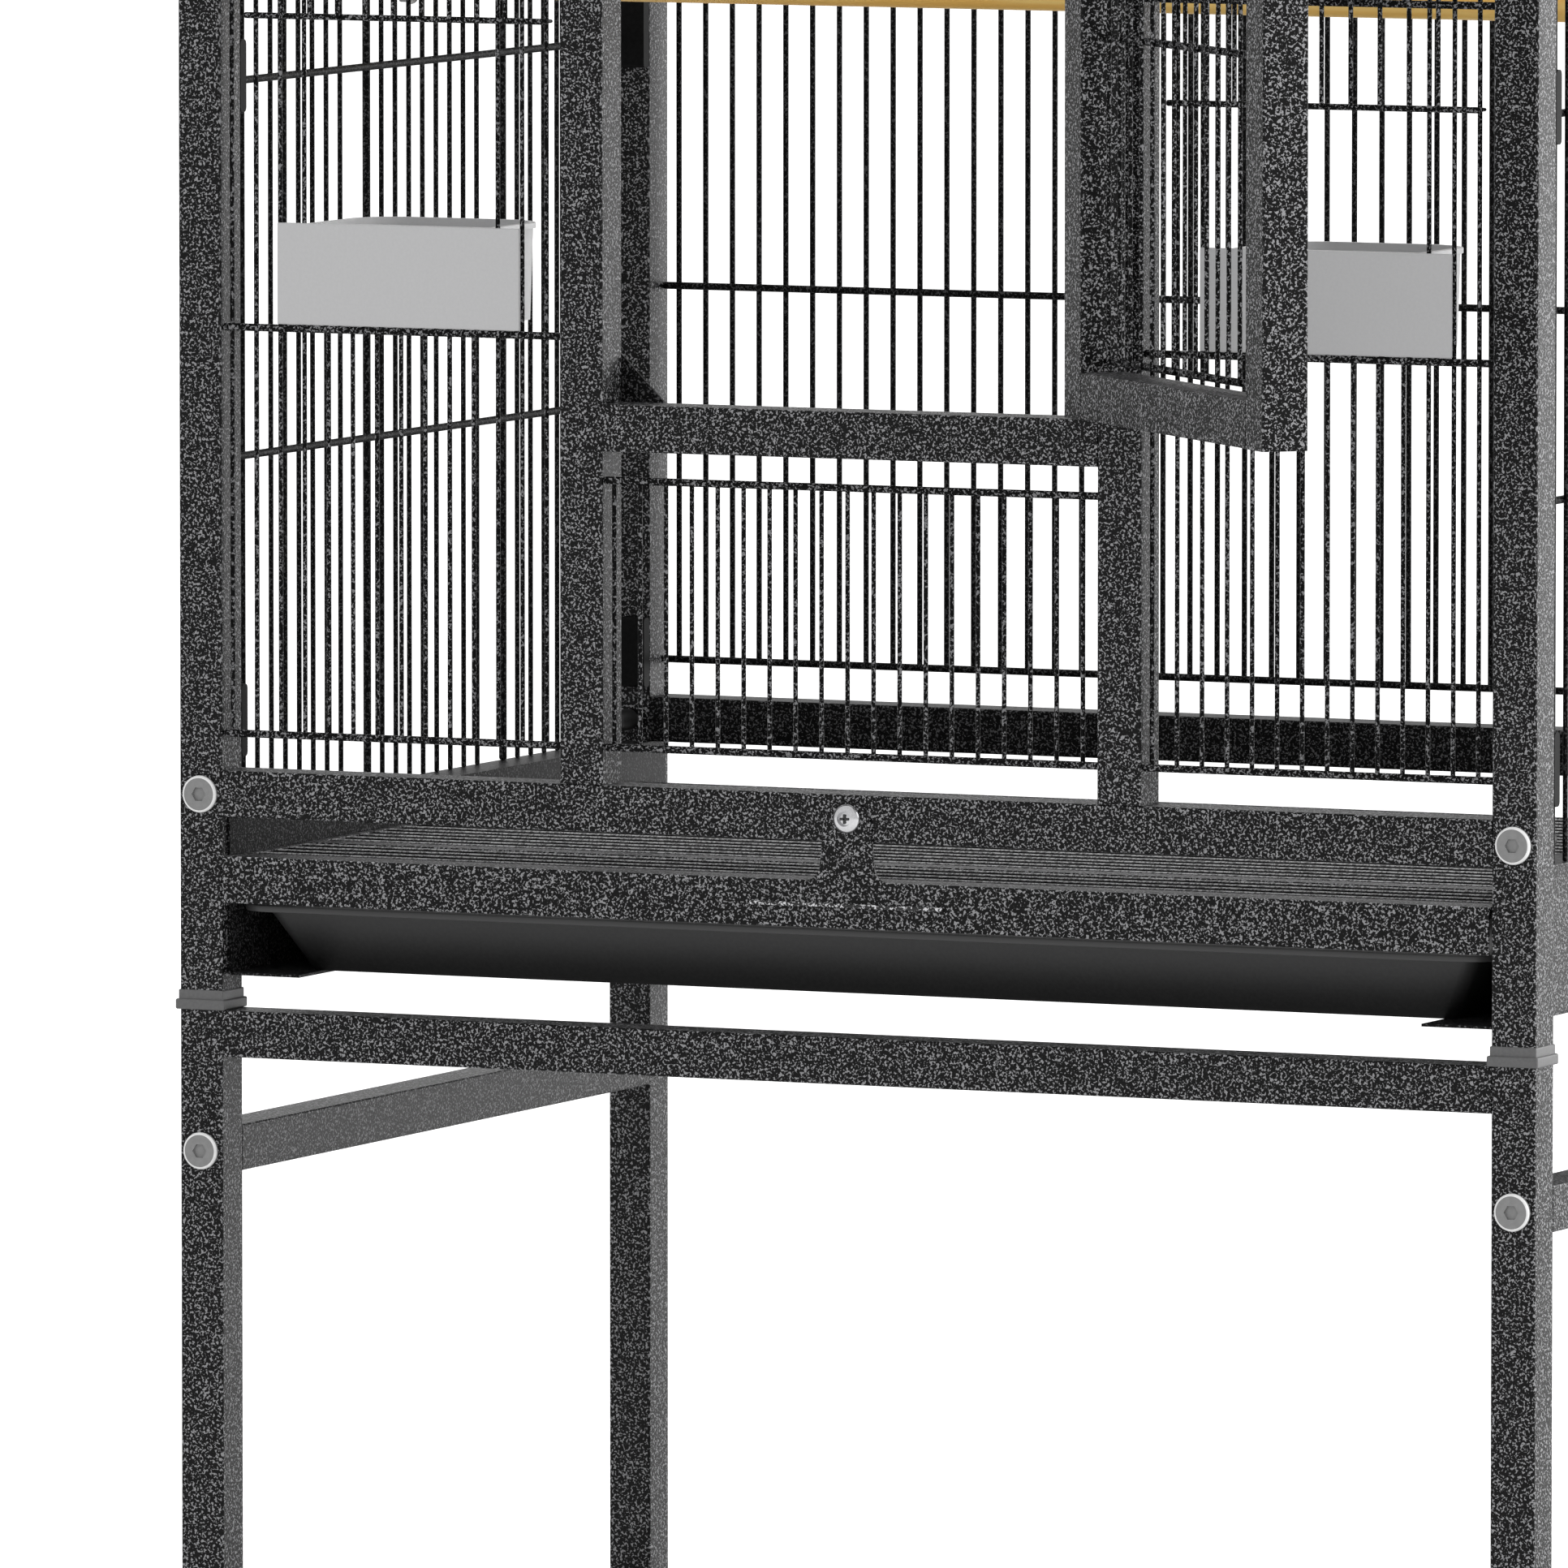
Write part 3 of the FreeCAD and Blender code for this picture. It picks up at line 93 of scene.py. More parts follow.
# Feeder doors and cups
LONGEST_RING = 20.0
GUIDE_RING = 2.5
GUIDE_GAUGE = 0.95
CUP_PLATE = 2.4
CUP_PLATE_EDGE = 0.7
CUP_WALL = 2.0
CUP_LIP = 1.5
CUP_LIP_HEIGHT = 3.0
CUP_LIP_EDGE = 0.6
CUP_CORNER = 28.0
CUP_BOWL_INSET = 17.0
CUP_BOWL_LIFT = 2.4
CUP_DRAFT = 1.5

# Grate with its flap, tab, finger lip and screw
GRATE_BAR = 5.0
GRATE_EDGE = 0.6
GRATE_STRIP = 15.0
# Depth of the painted highlight along the tops of the grate wires
TOP_HIGHLIGHT_BAND = 0.9
FLAP_HEIGHT = 25.0
FLAP_SHOULDER = 1.3
TAB_TOP = 25.0
TAB_BASE = 33.0
TAB_ROUND = 10.0
TAB_FLARE = 7.0
FINGER_LIP = 112.0
LIP_RISE = 11.0
LIP_STEP = 2.0
LIP_THICK = 2.2
LIP_EDGE = 0.7
SCREW_RISE = 4.5
SCREW_SHANK = 2.5
SCREW_CROWN_SHARE = 0.42
SCREW_INSET = 0.3
SCREW_SINK = 1.6
CROSS_HALF = 2.6
CROSS_HALF_WIDTH = 0.7
CROSS_HALF_DEPTH = 0.5
CROSS_PLACE = 1.1
CROSS_EDGE = 0.3

# Tray and runners
TRAY_RIM = 13.0
TRAY_RIM_SHEET = 3.8
# Half height of the painted highlight band along the tray rim
TRAY_RIM_HIGHLIGHT = 0.6
TRAY_EDGE = 1.0
TRAY_SLOPE = 20.0
TRAY_WALL = 2.2
TRAY_CORNER = 20.0
RUNNER_FLANGE = 23.0
RUNNER_LEDGE = 14.0
RUNNER_FOLD = 2.0

# Bolts, perch nuts and plastic fittings
HOOK_ROUND = 2.5
BOLT_HEAD = 2.6
BOLT_RIM = 1.3
BOLT_SHANK = 3.0
BOLT_SOCKET = 4.1
BOLT_SOCKET_DEPTH = 1.5
BOLT_SOCKET_INSET_SHARE = 0.45
NUT_LENGTH = 20.0
NUT_RADIUS = 6.0
NUT_EDGE = 0.8
COLLAR_STEP = 5.6
COLLAR_DRAW = 1.35
COLLAR_OVERLAP = 1.0
COLLAR_EDGE = 0.9
COLLAR_TOP_EDGE = 0.6
CAP_EDGE = 1.4
PLUG_EDGE = 0.8
PERCH_EDGE = 1.0
WASHER = 1.5
WASHER_EDGE = 0.4
WING_NUT = 9.0
WING_NUT_RADIUS = 6.5
WING_NUT_EDGE = 1.2
WING_SEAT_SHARE = 0.6
WING_REACH = 7.0
WING_HALF = Vector((3.0, 1.6, 4.0))

# Casters
TYRE_EDGE = 4.0
HUB_SHARE = 0.55
HUB_PROUD = 0.6
HUB_EDGE = 0.8
CROWN_DROP = 5.0
CROWN_RADIUS = 17.0
CROWN_THICK = 4.0
CROWN_EDGE = 1.2
STEM_RADIUS = 5.0
STEM_LENGTH = 22.0
STEM_RISE = 6.0
FORK_HALF = 7.5
FORK_SHEET = 2.5
FORK_GAP = 0.6
AXLE_RADIUS = 3.0
AXLE_CAP = 5.0
AXLE_CAP_PROUD = 0.4
AXLE_CAP_EDGE = 0.5

# Coats and plastics
VEINS_PER_METRE = 760
VEIN_TWIST = 0.8
VEIN_EDGES = (0.55, 0.67)
COAT_ROUGHNESS = 0.42
COAT_BLUE = 1.03
PLASTIC_BLUE = 1.01

# Studio, in metres and watts; the camera was solved from post and rail edges of the photo
FLOOR_HALF = 90
FLOOR_GLOW = 0.6
WORLD_LIGHT = 0.85
LIGHT_TARGET = Vector((0, 0, 0.8))
SOFTBOX_PLACE = (4.3, 0.5, 2.3)
SOFTBOX_SIDE = 2.5
SOFTBOX_WATTS = 90
CARD_PLACE = (2.8, 5.4, 1.2)
CARD_SIDE = 4.0
CARD_WATTS = 180
CAMERA_PLACE = (4.6990, -10.5898, 1.5539)
CAMERA_TARGET = Vector((-0.1381, -0.0635, 0.573))
CAMERA_LENS = 494.3
CAMERA_SENSOR = 36
CAMERA_REACH = 400

hinge = next(joint for joint in frame["joints"] if joint["name"] == "main_door_hinge")


def about_hinge(degrees):
    """A turn of the door about its hinge axis."""
    axis_point = Vector(hinge["pos_m"]) / MM
    turn = Matrix.Rotation(radians(degrees), 4, "Z")
    return Matrix.Translation(axis_point) @ turn @ Matrix.Translation(-axis_point)


DOOR_SHUT = about_hinge(hinge["range_deg"][0])
DOOR_OPEN = DOOR_SHUT.inverted()


# Reading the frame
def whole(node):
    """Lowest and highest corner of a CAD node."""
    low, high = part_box(node)
    return low / MM, high / MM


def solids(node, turn=Matrix()):
    """Lowest and highest corner of each separate solid of a CAD node, after a turn."""
    copy = bmesh.new()
    copy.from_mesh(NODES[node].data)
    bmesh.ops.scale(copy, vec=Vector((1, 1, 1)) / MM, verts=copy.verts)
    bmesh.ops.transform(copy, matrix=turn, verts=copy.verts)
    bmesh.ops.remove_doubles(copy, verts=copy.verts, dist=SAME_POINT)
    boxes = []
    for seed in copy.verts:
        if seed.tag:
            continue
        seed.tag = True
        island = [seed]
        for vert in island:
            for edge in vert.link_edges:
                other = edge.other_vert(vert)
                if not other.tag:
                    other.tag = True
                    island.append(other)
        columns = list(zip(*(vert.co for vert in island)))
        low = Vector([min(column) for column in columns])
        high = Vector([max(column) for column in columns])
        boxes.append((low, high))
    copy.free()
    return boxes


def deepest_solid(node):
    """The solid of a CAD node that reaches furthest from front to back."""
    return max(solids(node), key=lambda box: box[1].y - box[0].y)


def long_axis(low, high):
    size = high - low
    return max(range(3), key=lambda axis: size[axis])


# Shapes
def edges_of(verts):
    """The edges that touch some vertices, each once."""
    return list(dict.fromkeys(edge for vert in verts for edge in vert.link_edges))


def runs_along(edge, axis):
    way = edge.verts[1].co - edge.verts[0].co
    return abs(way[axis]) > ALONG * way.length


def corner_edges(bm, x, z):
    """The edges that run from front to back through one spot of the XZ plane."""
    spot = Vector((x, z))
    along = [edge for edge in bm.edges if runs_along(edge, Y)]
    return [edge for edge in along if (edge.verts[0].co.xz - spot).length < SAME_POINT]


def lowest_and_highest(faces):
    """The lowest and the highest of some faces."""
    by_height = sorted(faces, key=lambda face: face.calc_center_median().z)
    return by_height[0], by_height[-1]


def round_off(bm, edges, radius, segments=3):
    """Rounds edges and returns the new faces."""
    result = bmesh.ops.bevel(
        bm, geom=edges, offset=radius, offset_type="OFFSET", segments=segments,
        affect="EDGES", profile=0.5, material=-1, clamp_overlap=True,
    )
    return result["faces"]


def block(bm, low, high):
    """A plain box between two corners."""
    low, high = Vector(low), Vector(high)
    place = Matrix.Translation((low + high) / 2) @ Matrix.Diagonal((*(high - low), 1))
    return bmesh.ops.create_cube(bm, size=1, matrix=place)["verts"]


def bar(bm, low, high, radius=TUBE_ROUND, axis=None):
    """A bar or tube with rounded long edges."""
    low, high = Vector(low), Vector(high)
    axis = long_axis(low, high) if axis is None else axis
    verts = block(bm, low, high)
    round_off(bm, [edge for edge in edges_of(verts) if runs_along(edge, axis)], radius)


def soft_block(bm, low, high, radius, segments=3):
    """A box with every edge rounded."""
    round_off(bm, edges_of(block(bm, low, high)), radius, segments)


def disc(bm, centre, axis, radius, length, sides=32, edge=0.0):
    """A round bar about its centre, with rounded rims."""
    place = Matrix.Translation(centre) @ AXIS_TURN[axis]
    verts = bmesh.ops.create_cone(
        bm, cap_ends=True, cap_tris=False, segments=sides,
        radius1=radius, radius2=radius, depth=length, matrix=place,
    )["verts"]
    if edge:
        round_off(bm, [rim for rim in edges_of(verts) if not runs_along(rim, axis)], edge, segments=2)


def wire(bm, low, high):
    """A round wire that fills a long box, with its ends rounded off."""
    axis = long_axis(low, high)
    size = high - low
    radius = max(size[side] for side in range(3) if side != axis) / 2
    disc(bm, (low + high) / 2, axis, radius, size[axis], WIRE_SIDES, radius * WIRE_END_SHARE)


def ring(bm, centre, radius, gauge):
    """A level wire ring."""
    start = Matrix.Translation(Vector(centre) + Vector((radius, 0, 0))) @ Matrix.Rotation(pi / 2, 4, "X")
    verts = bmesh.ops.create_circle(bm, segments=RING_SIDES, radius=gauge, matrix=start)["verts"]
    bmesh.ops.spin(
        bm, geom=verts + edges_of(verts), cent=centre, axis=(0, 0, 1), angle=2 * pi,
        steps=RING_STEPS, use_merge=True, use_duplicate=False,
    )


def push_out(bm, faces, way):
    """Draws flat faces out into a solid."""
    pushed = bmesh.ops.extrude_face_region(bm, geom=faces)["geom"]
    moved = [item for item in pushed if isinstance(item, bmesh.types.BMVert)]
    bmesh.ops.translate(bm, vec=Vector(way), verts=moved)


def plate(bm, corners, thickness):
    """A flat plate from the few corners of its outline."""
    verts = [bm.verts.new(corner) for corner in corners]
    edges = [bm.edges.new(pair) for pair in zip(verts, verts[1:] + verts[:1])]
    push_out(bm, bmesh.ops.edgeloop_fill(bm, edges=edges)["faces"], thickness)


def bored_block(bm, low, high, axis, bore, edge):
    """A block with rounded long edges and a round bore along X."""
    mouth = Vector((low.x, axis.y, axis.z))
    place = Matrix.Translation(mouth) @ AXIS_TURN[X]
    hole = bmesh.ops.create_circle(bm, segments=BORE_SIDES, radius=bore, matrix=place)["verts"]
    rim = bmesh.ops.create_circle(bm, segments=BORE_SIDES, radius=2 * bore, matrix=place)["verts"]
    for vert in rim:
        way = vert.co - mouth
        walls = [high[side] if way[side] > 0 else low[side] for side in range(3)]
        reach = min((walls[side] - mouth[side]) / way[side] for side in (Y, Z) if way[side])
        vert.co = (low.x, mouth.y + way.y * reach, mouth.z + way.z * reach)
    front = bmesh.ops.bridge_loops(bm, edges=edges_of(hole) + edges_of(rim))["faces"]
    push_out(bm, front, (high.x - low.x, 0, 0))
    bmesh.ops.recalc_face_normals(bm, faces=bm.faces)
    long_edges = [side for side in bm.edges if runs_along(side, X) and side.is_manifold]
    round_off(bm, [side for side in long_edges if side.calc_face_angle() > SHARP], edge)


def sink(bm, face, inset, depth, draw_in):
    """Insets a level face and pushes it down by a depth, with walls that draw in on the way."""
    bmesh.ops.inset_region(bm, faces=[face], thickness=inset, use_even_offset=True)
    pushed = bmesh.ops.extrude_discrete_faces(bm, faces=[face])["faces"][0]
    bmesh.ops.translate(bm, vec=(0, 0, -depth), verts=pushed.verts)
    centre = pushed.calc_center_bounds()
    half_x = max(vert.co.x - centre.x for vert in pushed.verts)
    half_y = max(vert.co.y - centre.y for vert in pushed.verts)
    shrink = ((half_x - draw_in) / half_x, (half_y - draw_in) / half_y, 1)
    bmesh.ops.scale(bm, vec=shrink, verts=pushed.verts, space=Matrix.Translation(-centre))


def coat_faces(faces, index):
    """Gives faces one of the finishes of their piece."""
    for face in faces:
        face.material_index = index


def stamp(bm, part, place=Matrix()):
    """Adds a finished small mesh to another one, at its place."""
    bmesh.ops.transform(part, matrix=place, verts=part.verts)
    carrier = bpy.data.meshes.new("carrier")
    part.to_mesh(carrier)
    part.free()
    bm.from_mesh(carrier)
    bpy.data.meshes.remove(carrier)


# Finishes
def finish(name, **constants):
    """A material with its constants on the shader's own sockets."""
    material = bpy.data.materials.new(name)
    material.use_nodes = True
    shader = material.node_tree.nodes["Principled BSDF"]
    for socket, constant in constants.items():
        shader.inputs[socket.replace("_", " ")].default_value = constant
    return material, material.node_tree, shader


def add(tree, kind, sockets=None, **settings):
    """A node with its settings, numbers and links."""
    node = tree.nodes.new(kind)
    for key, setting in settings.items():
        setattr(node, key, setting)
    for socket, given in (sockets or {}).items():
        if isinstance(given, bpy.types.NodeSocket):
            tree.links.new(given, node.inputs[socket])
        else:
            node.inputs[socket].default_value = given
    return node


def object_place(tree):
    return add(tree, "ShaderNodeTexCoord").outputs["Object"]


def height_of(tree, place):
    return add(tree, "ShaderNodeSeparateXYZ", {"Vector": place}).outputs["Z"]


def noise(tree, scale, detail=2.0, distortion=0.0, place=None):
    """Noise with so many features to the metre."""
    place = place or object_place(tree)
    sockets = {"Vector": place, "Scale": scale, "Detail": detail, "Distortion": distortion}
    return add(tree, "ShaderNodeTexNoise", sockets).outputs["Fac"]


def spread(tree, given, low, high, to_low, to_high):
    """Maps a range of values smoothly to another."""
    sockets = {"Value": given, "From Min": low, "From Max": high, "To Min": to_low, "To Max": to_high}
    return add(tree, "ShaderNodeMapRange", sockets, interpolation_type="SMOOTHSTEP").outputs["Result"]


def stretch(tree, cloud, to_low=0.0, to_high=1.0):
    """Maps the middle values of a noise to a full range."""
    return spread(tree, cloud, 0.3, 0.7, to_low, to_high)


def combine(tree, operation, first, second):
    return add(tree, "ShaderNodeMath", {0: first, 1: second}, operation=operation).outputs[0]


def grey(level, blue=1.0):
    """A grey, bluish where blue is above 1."""
    return (level, level, level * blue, 1)


def paint(tree, shader, share, first, second):
    """A base colour that goes from one colour to another with a share."""
    mix = add(tree, "ShaderNodeMix", {0: share, 6: first, 7: second}, data_type="RGBA")
    tree.links.new(mix.outputs[2], shader.inputs["Base Color"])


def dents(tree, shader, height, strength, distance):
    """Bump from a height."""
    sockets = {"Height": height, "Strength": strength, "Distance": distance}
    bump = add(tree, "ShaderNodeBump", sockets)
    tree.links.new(bump.outputs["Normal"], shader.inputs["Normal"])


def hammered_coat(name, base, vein, specular):
    """Black powder coat with worm-like silver veins."""
    material, tree, shader = finish(name, Roughness=COAT_ROUGHNESS, Specular_IOR_Level=specular)
    worms = noise(tree, VEINS_PER_METRE, detail=0.0, distortion=VEIN_TWIST)
    silver = spread(tree, worms, *VEIN_EDGES, 0.0, 1.0)
    paint(tree, shader, silver, grey(base, COAT_BLUE), grey(vein, COAT_BLUE))
    dents(tree, shader, silver, strength=0.35, distance=0.0003)
    return material


def grate_top_highlight_coat():
    """The coat of the grate wires, with a painted highlight: silver veins that show only along the tops of the
    wires.
    """
    material, tree, shader = finish("grate_top_highlight_coat", Roughness=COAT_ROUGHNESS, Specular_IOR_Level=0.12)
    place = object_place(tree)
    top = whole("grate_wires")[1].z
    # Painted highlight: the silver share rises towards the top of each wire.
    top_highlight = spread(tree, height_of(tree, place), (top - TOP_HIGHLIGHT_BAND) * MM, top * MM, 0.0, 1.0)
    worms = noise(tree, VEINS_PER_METRE, detail=0.0, distortion=VEIN_TWIST, place=place)
    silver = spread(tree, worms, 0.4, 0.6, 0.3, 1.0)
    share = combine(tree, "MULTIPLY", top_highlight, silver)
    paint(tree, shader, share, grey(0.003), (0.62, 0.62, 0.63, 1))
    return material


def zinc(name, dark, light):
    """Zinc plate on the bolts, faintly clouded."""
    material, tree, shader = finish(name, Roughness=0.45)
    cloud = stretch(tree, noise(tree, 350, detail=3.0))
    paint(tree, shader, cloud, grey(dark), grey(light))
    dents(tree, shader, cloud, strength=0.1, distance=0.0001)
    return material


def bright_chrome():
    """Polished chrome with faint wear."""
    material, tree, shader = finish("bright_chrome", Metallic=1.0)
    wear = noise(tree, 900)
    paint(tree, shader, wear, (0.4, 0.4, 0.41, 1), (0.58, 0.58, 0.59, 1))
    tree.links.new(stretch(tree, wear, 0.12, 0.25), shader.inputs["Roughness"])
    return material


def perch_wood():
    """Pale golden wood with grain along the perch."""
    material, tree, shader = finish("perch_wood", Roughness=0.5)
    along = add(tree, "ShaderNodeMapping", {"Vector": object_place(tree), "Scale": (6.0, 110.0, 110.0)})
    grain = noise(tree, 1.0, detail=5.0, distortion=0.8, place=along.outputs["Vector"])
    paint(tree, shader, stretch(tree, grain), (0.95, 0.54, 0.12, 1), (1.0, 0.69, 0.22, 1))
    dents(tree, shader, grain, strength=0.15, distance=0.0004)
    return material


def moulded_plastic(name, dark, light, roughness, specular=0.5):
    """Moulded plastic with a fine cast surface."""
    material, tree, shader = finish(name, Roughness=roughness, Specular_IOR_Level=specular)
    cast = noise(tree, 600, detail=3.0)
    paint(tree, shader, stretch(tree, cast), grey(dark, PLASTIC_BLUE), grey(light, PLASTIC_BLUE))
    dents(tree, shader, cast, strength=0.06, distance=0.0002)
    return material


def tray_plastic():
    """Black tray plastic, darker down the wall as painted shade, with a painted highlight along the rim's edge."""
    material, tree, shader = finish("tray_plastic", Roughness=0.42, Specular_IOR_Level=0.3)
    place = object_place(tree)
    height = height_of(tree, place)
    low, high = whole("tray")
    rim = high.z - TRAY_RIM_SHEET
    # Painted shade: the wall darkens towards the bottom.
    wall = spread(tree, height, low.z * MM, rim * MM, 0.0, 0.6)
    # Painted highlight in a band along the rim's edge.
    edge = spread(tree, height, (rim - TRAY_RIM_HIGHLIGHT) * MM, (rim + TRAY_RIM_HIGHLIGHT) * MM, 0.0, 0.45)
    cast = stretch(tree, noise(tree, 500, detail=3.0, place=place), -0.04, 0.04)
    share = combine(tree, "ADD", combine(tree, "ADD", wall, edge), cast)
    paint(tree, shader, share, grey(0.005, PLASTIC_BLUE), grey(0.06, PLASTIC_BLUE))
    return material


FINISHES = {
    "powder_coat": hammered_coat("hammered_coat", base=0.003, vein=0.32, specular=0.12),
    # A darker copy of the hammered coat: painted shade on the rear bottom rail, the door gussets and the runner
    # faces that don't look out of the cage.
    "painted_shade_coat": hammered_coat("painted_shade_coat", base=0.003, vein=0.1, specular=0.06),
    # A darker copy of the wire coat: painted shade on the rear, side and roof wires and the shelf slats.
    "wire_coat": hammered_coat("wire_coat", base=0.003, vein=0.06, specular=0.04),
    "front_wire_coat": hammered_coat("front_wire_coat", base=0.003, vein=0.24, specular=0.05),
    # A bright copy of the coat: a painted highlight on the flap's shoulder and finger lip.
    "painted_highlight_coat": hammered_coat("painted_highlight_coat", base=0.015, vein=0.75, specular=0.3),
    "grate_top_highlight_coat": grate_top_highlight_coat(),
    "bolt_steel": zinc("dull_zinc", dark=0.23, light=0.26),
    # Near-white zinc: a painted highlight on the rims of the bolt heads.
    "painted_highlight_zinc": zinc("painted_highlight_zinc", dark=0.85, light=0.95),
    # Black zinc on the barrel nuts, and painted shade in the cross recess of the grate screw.
    "black_zinc_and_recess_shade": zinc("black_zinc_and_recess_shade", dark=0.01, light=0.015),
    "screw_chrome": bright_chrome(),
    "perch_wood": perch_wood(),
    "cup_plastic": moulded_plastic("cup_plastic", dark=0.54, light=0.56, roughness=0.4),
    "collar_plastic": moulded_plastic("collar_plastic", dark=0.12, light=0.14, roughness=0.45, specular=0.3),
    "black_plastic": moulded_plastic("black_plastic", dark=0.005, light=0.008, roughness=0.5, specular=0.04),
    "tray_plastic": tray_plastic(),
    "caster_plastic": moulded_plastic("caster_plastic", dark=0.015, light=0.025, roughness=0.4),
    "wheel_rubber": moulded_plastic("wheel_rubber", dark=0.03, light=0.045, roughness=0.6),
}


def piece(bm, name, slot, *nodes, turn=Matrix(), finishes=()):
    """Makes a mesh an object with its finishes, carried by the body of the CAD nodes that it stands for."""
    bmesh.ops.transform(bm, matrix=Matrix.Scale(MM, 4) @ turn, verts=bm.verts)
    for face in bm.faces:
        face.smooth = True
    mesh = bpy.data.meshes.new(name)
    bm.to_mesh(mesh)
    bm.free()
    mesh.set_sharp_from_angle(angle=CREASE)
    for label in finishes or (slot,):
        mesh.materials.append(FINISHES[label])
    obj = bpy.data.objects.new(name, mesh)
    bpy.context.scene.collection.objects.link(obj)
    evened = obj.modifiers.new("even_normals", "WEIGHTED_NORMAL")
    evened.keep_sharp = True
    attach(obj, BODY_OF[nodes[0]])
    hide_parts(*nodes)


# Square tubes of the cage and the stand
def tubes(node, coat="powder_coat"):
    bm = bmesh.new()
    for low, high in solids(node):
        bar(bm, low, high)
    piece(bm, f"{node}_tube", "powder_coat", node, finishes=(coat,))


def shelf_frame():
    low, high = whole("shelf_frame")
    bm = bmesh.new()
    for y in (low.y, high.y - TUBE):
        bar(bm, (low.x + TUBE, y, low.z), (high.x - TUBE, y + TUBE, high.z))
    for x in (low.x, high.x - TUBE):
        bar(bm, (x, low.y + TUBE, low.z), (x + TUBE, high.y - TUBE, high.z))
    piece(bm, "shelf_frame_tubes", "powder_coat", "shelf_frame")


POSTS = ("front_left_post", "front_right_post", "rear_left_post", "rear_right_post")
RAILS = (
    "left_door_jamb", "right_door_jamb", "front_bottom_rail", "door_sill_rail", "door_head_rail",
    "front_top_rail", "rear_top_rail", "side_top_rails",
)
STAND = ("stand_legs", "stand_cross_rails", "stand_side_rails")
for node in POSTS + RAILS + STAND:
    tubes(node)
# The rear bottom rail takes the darker copy of the coat as painted shade.
tubes("rear_bottom_rail", "painted_shade_coat")
shelf_frame()


# Wire panels
def wire_panel(node, turn=Matrix(), coat="wire_coat"):
    bm = bmesh.new()
    for low, high in solids(node, turn):
        wire(bm, low, high)
    piece(bm, f"{node}_drawn", "powder_coat", node, turn=turn.inverted(), finishes=(coat,))


# These wires take the darker wire coat by default, painted shade.
for node in ("rear_wires", "left_side_wires", "right_side_wires", "roof_wires", "shelf_slats"):
    wire_panel(node)
for node in ("front_left_wires", "front_right_wires", "front_lower_wires", "front_upper_wires"):
    wire_panel(node, coat="front_wire_coat")
wire_panel("door_wires", DOOR_SHUT, "front_wire_coat")
# The grate wires take the coat with the painted highlight on their tops.
wire_panel("grate_wires", coat="grate_top_highlight_coat")


# Main door, drawn shut and turned open
def door_frame():
    low, high = solids("door_frame", DOOR_SHUT)[0]
    bm = bmesh.new()
    for x in (low.x, high.x - TUBE):
        bar(bm, (x, low.y, low.z), (x + TUBE, high.y, high.z))
    for z in (low.z, high.z - TUBE):
        bar(bm, (low.x + TUBE, low.y, z), (high.x - TUBE, high.y, z + TUBE))
    piece(bm, "door_frame_tubes", "powder_coat", "door_frame", turn=DOOR_OPEN)


def hinge_barrels():
    bm = bmesh.new()
    for low, high in solids("hinge_knuckles"):
        radius = (high.x - low.x) / 2
        axis_y = low.y + radius
        middle = (low + high) / 2
        disc(bm, (middle.x, axis_y, middle.z), Z, radius, high.z - low.z, sides=20, edge=HINGE_EDGE)
        block(bm, (low.x, axis_y, low.z), high)
    piece(bm, "hinge_barrels", "powder_coat", "hinge_knuckles")


def hinge_straps():
    """Straps with an eye, a pin below it and two rivets."""
    bm = bmesh.new()
    for low, high in solids("door_hinge_straps", DOOR_SHUT):
        strap_low = high.z - STRAP_HEIGHT
        strap_middle = high.z - STRAP_HEIGHT / 2
        axis_x = high.x - HINGE_EYE
        axis_y = low.y + HINGE_EYE
        bar(bm, (low.x, axis_y, strap_low), (axis_x, high.y, high.z), STRAP_EDGE, X)
        disc(bm, (axis_x, axis_y, strap_middle), Z, HINGE_EYE, STRAP_HEIGHT, sides=20, edge=HINGE_EDGE)
        pin_middle = (low.z + strap_low) / 2
        disc(bm, (axis_x, axis_y, pin_middle), Z, HINGE_PIN, strap_low - low.z, sides=12)
        for share in RIVET_SHARES:
            rivet_x = low.x + share * (axis_x - low.x)
            disc(bm, (rivet_x, axis_y, strap_middle), Y, RIVET, RIVET_HEIGHT, sides=16, edge=RIVET_EDGE)
    piece(bm, "hinge_straps", "powder_coat", "door_hinge_straps", turn=DOOR_OPEN)


def door_latch():
    """A bolt with a knob that slides in a bored guide and shuts into a bored keeper."""
    low, high = solids("latch_bolt", DOOR_SHUT)[0]
    middle = (low + high) / 2
    rod_centre = (middle.x - LATCH_KNOB / 2, middle.y, middle.z)
    knob_centre = (high.x - LATCH_KNOB / 2, middle.y, middle.z)
    rod_length = high.x - low.x - LATCH_KNOB
    bolt = bmesh.new()
    disc(bolt, rod_centre, X, LATCH_ROD, rod_length, sides=20, edge=LATCH_ROD_EDGE)
    disc(bolt, knob_centre, X, (high.z - low.z) / 2, LATCH_KNOB, sides=24, edge=LATCH_KNOB_EDGE)
    piece(bolt, "latch_sliding_bolt", "powder_coat", "latch_bolt", turn=DOOR_OPEN)
    guide = bmesh.new()
    bored_block(guide, *solids("latch_guide", DOOR_SHUT)[0], middle, LATCH_BORE, LATCH_EDGE)
    piece(guide, "latch_guide_block", "powder_coat", "latch_guide", turn=DOOR_OPEN)
    keeper = bmesh.new()
    bored_block(keeper, *solids("latch_keeper")[0], middle, LATCH_BORE, LATCH_EDGE)
    piece(keeper, "latch_keeper_block", "powder_coat", "latch_keeper")


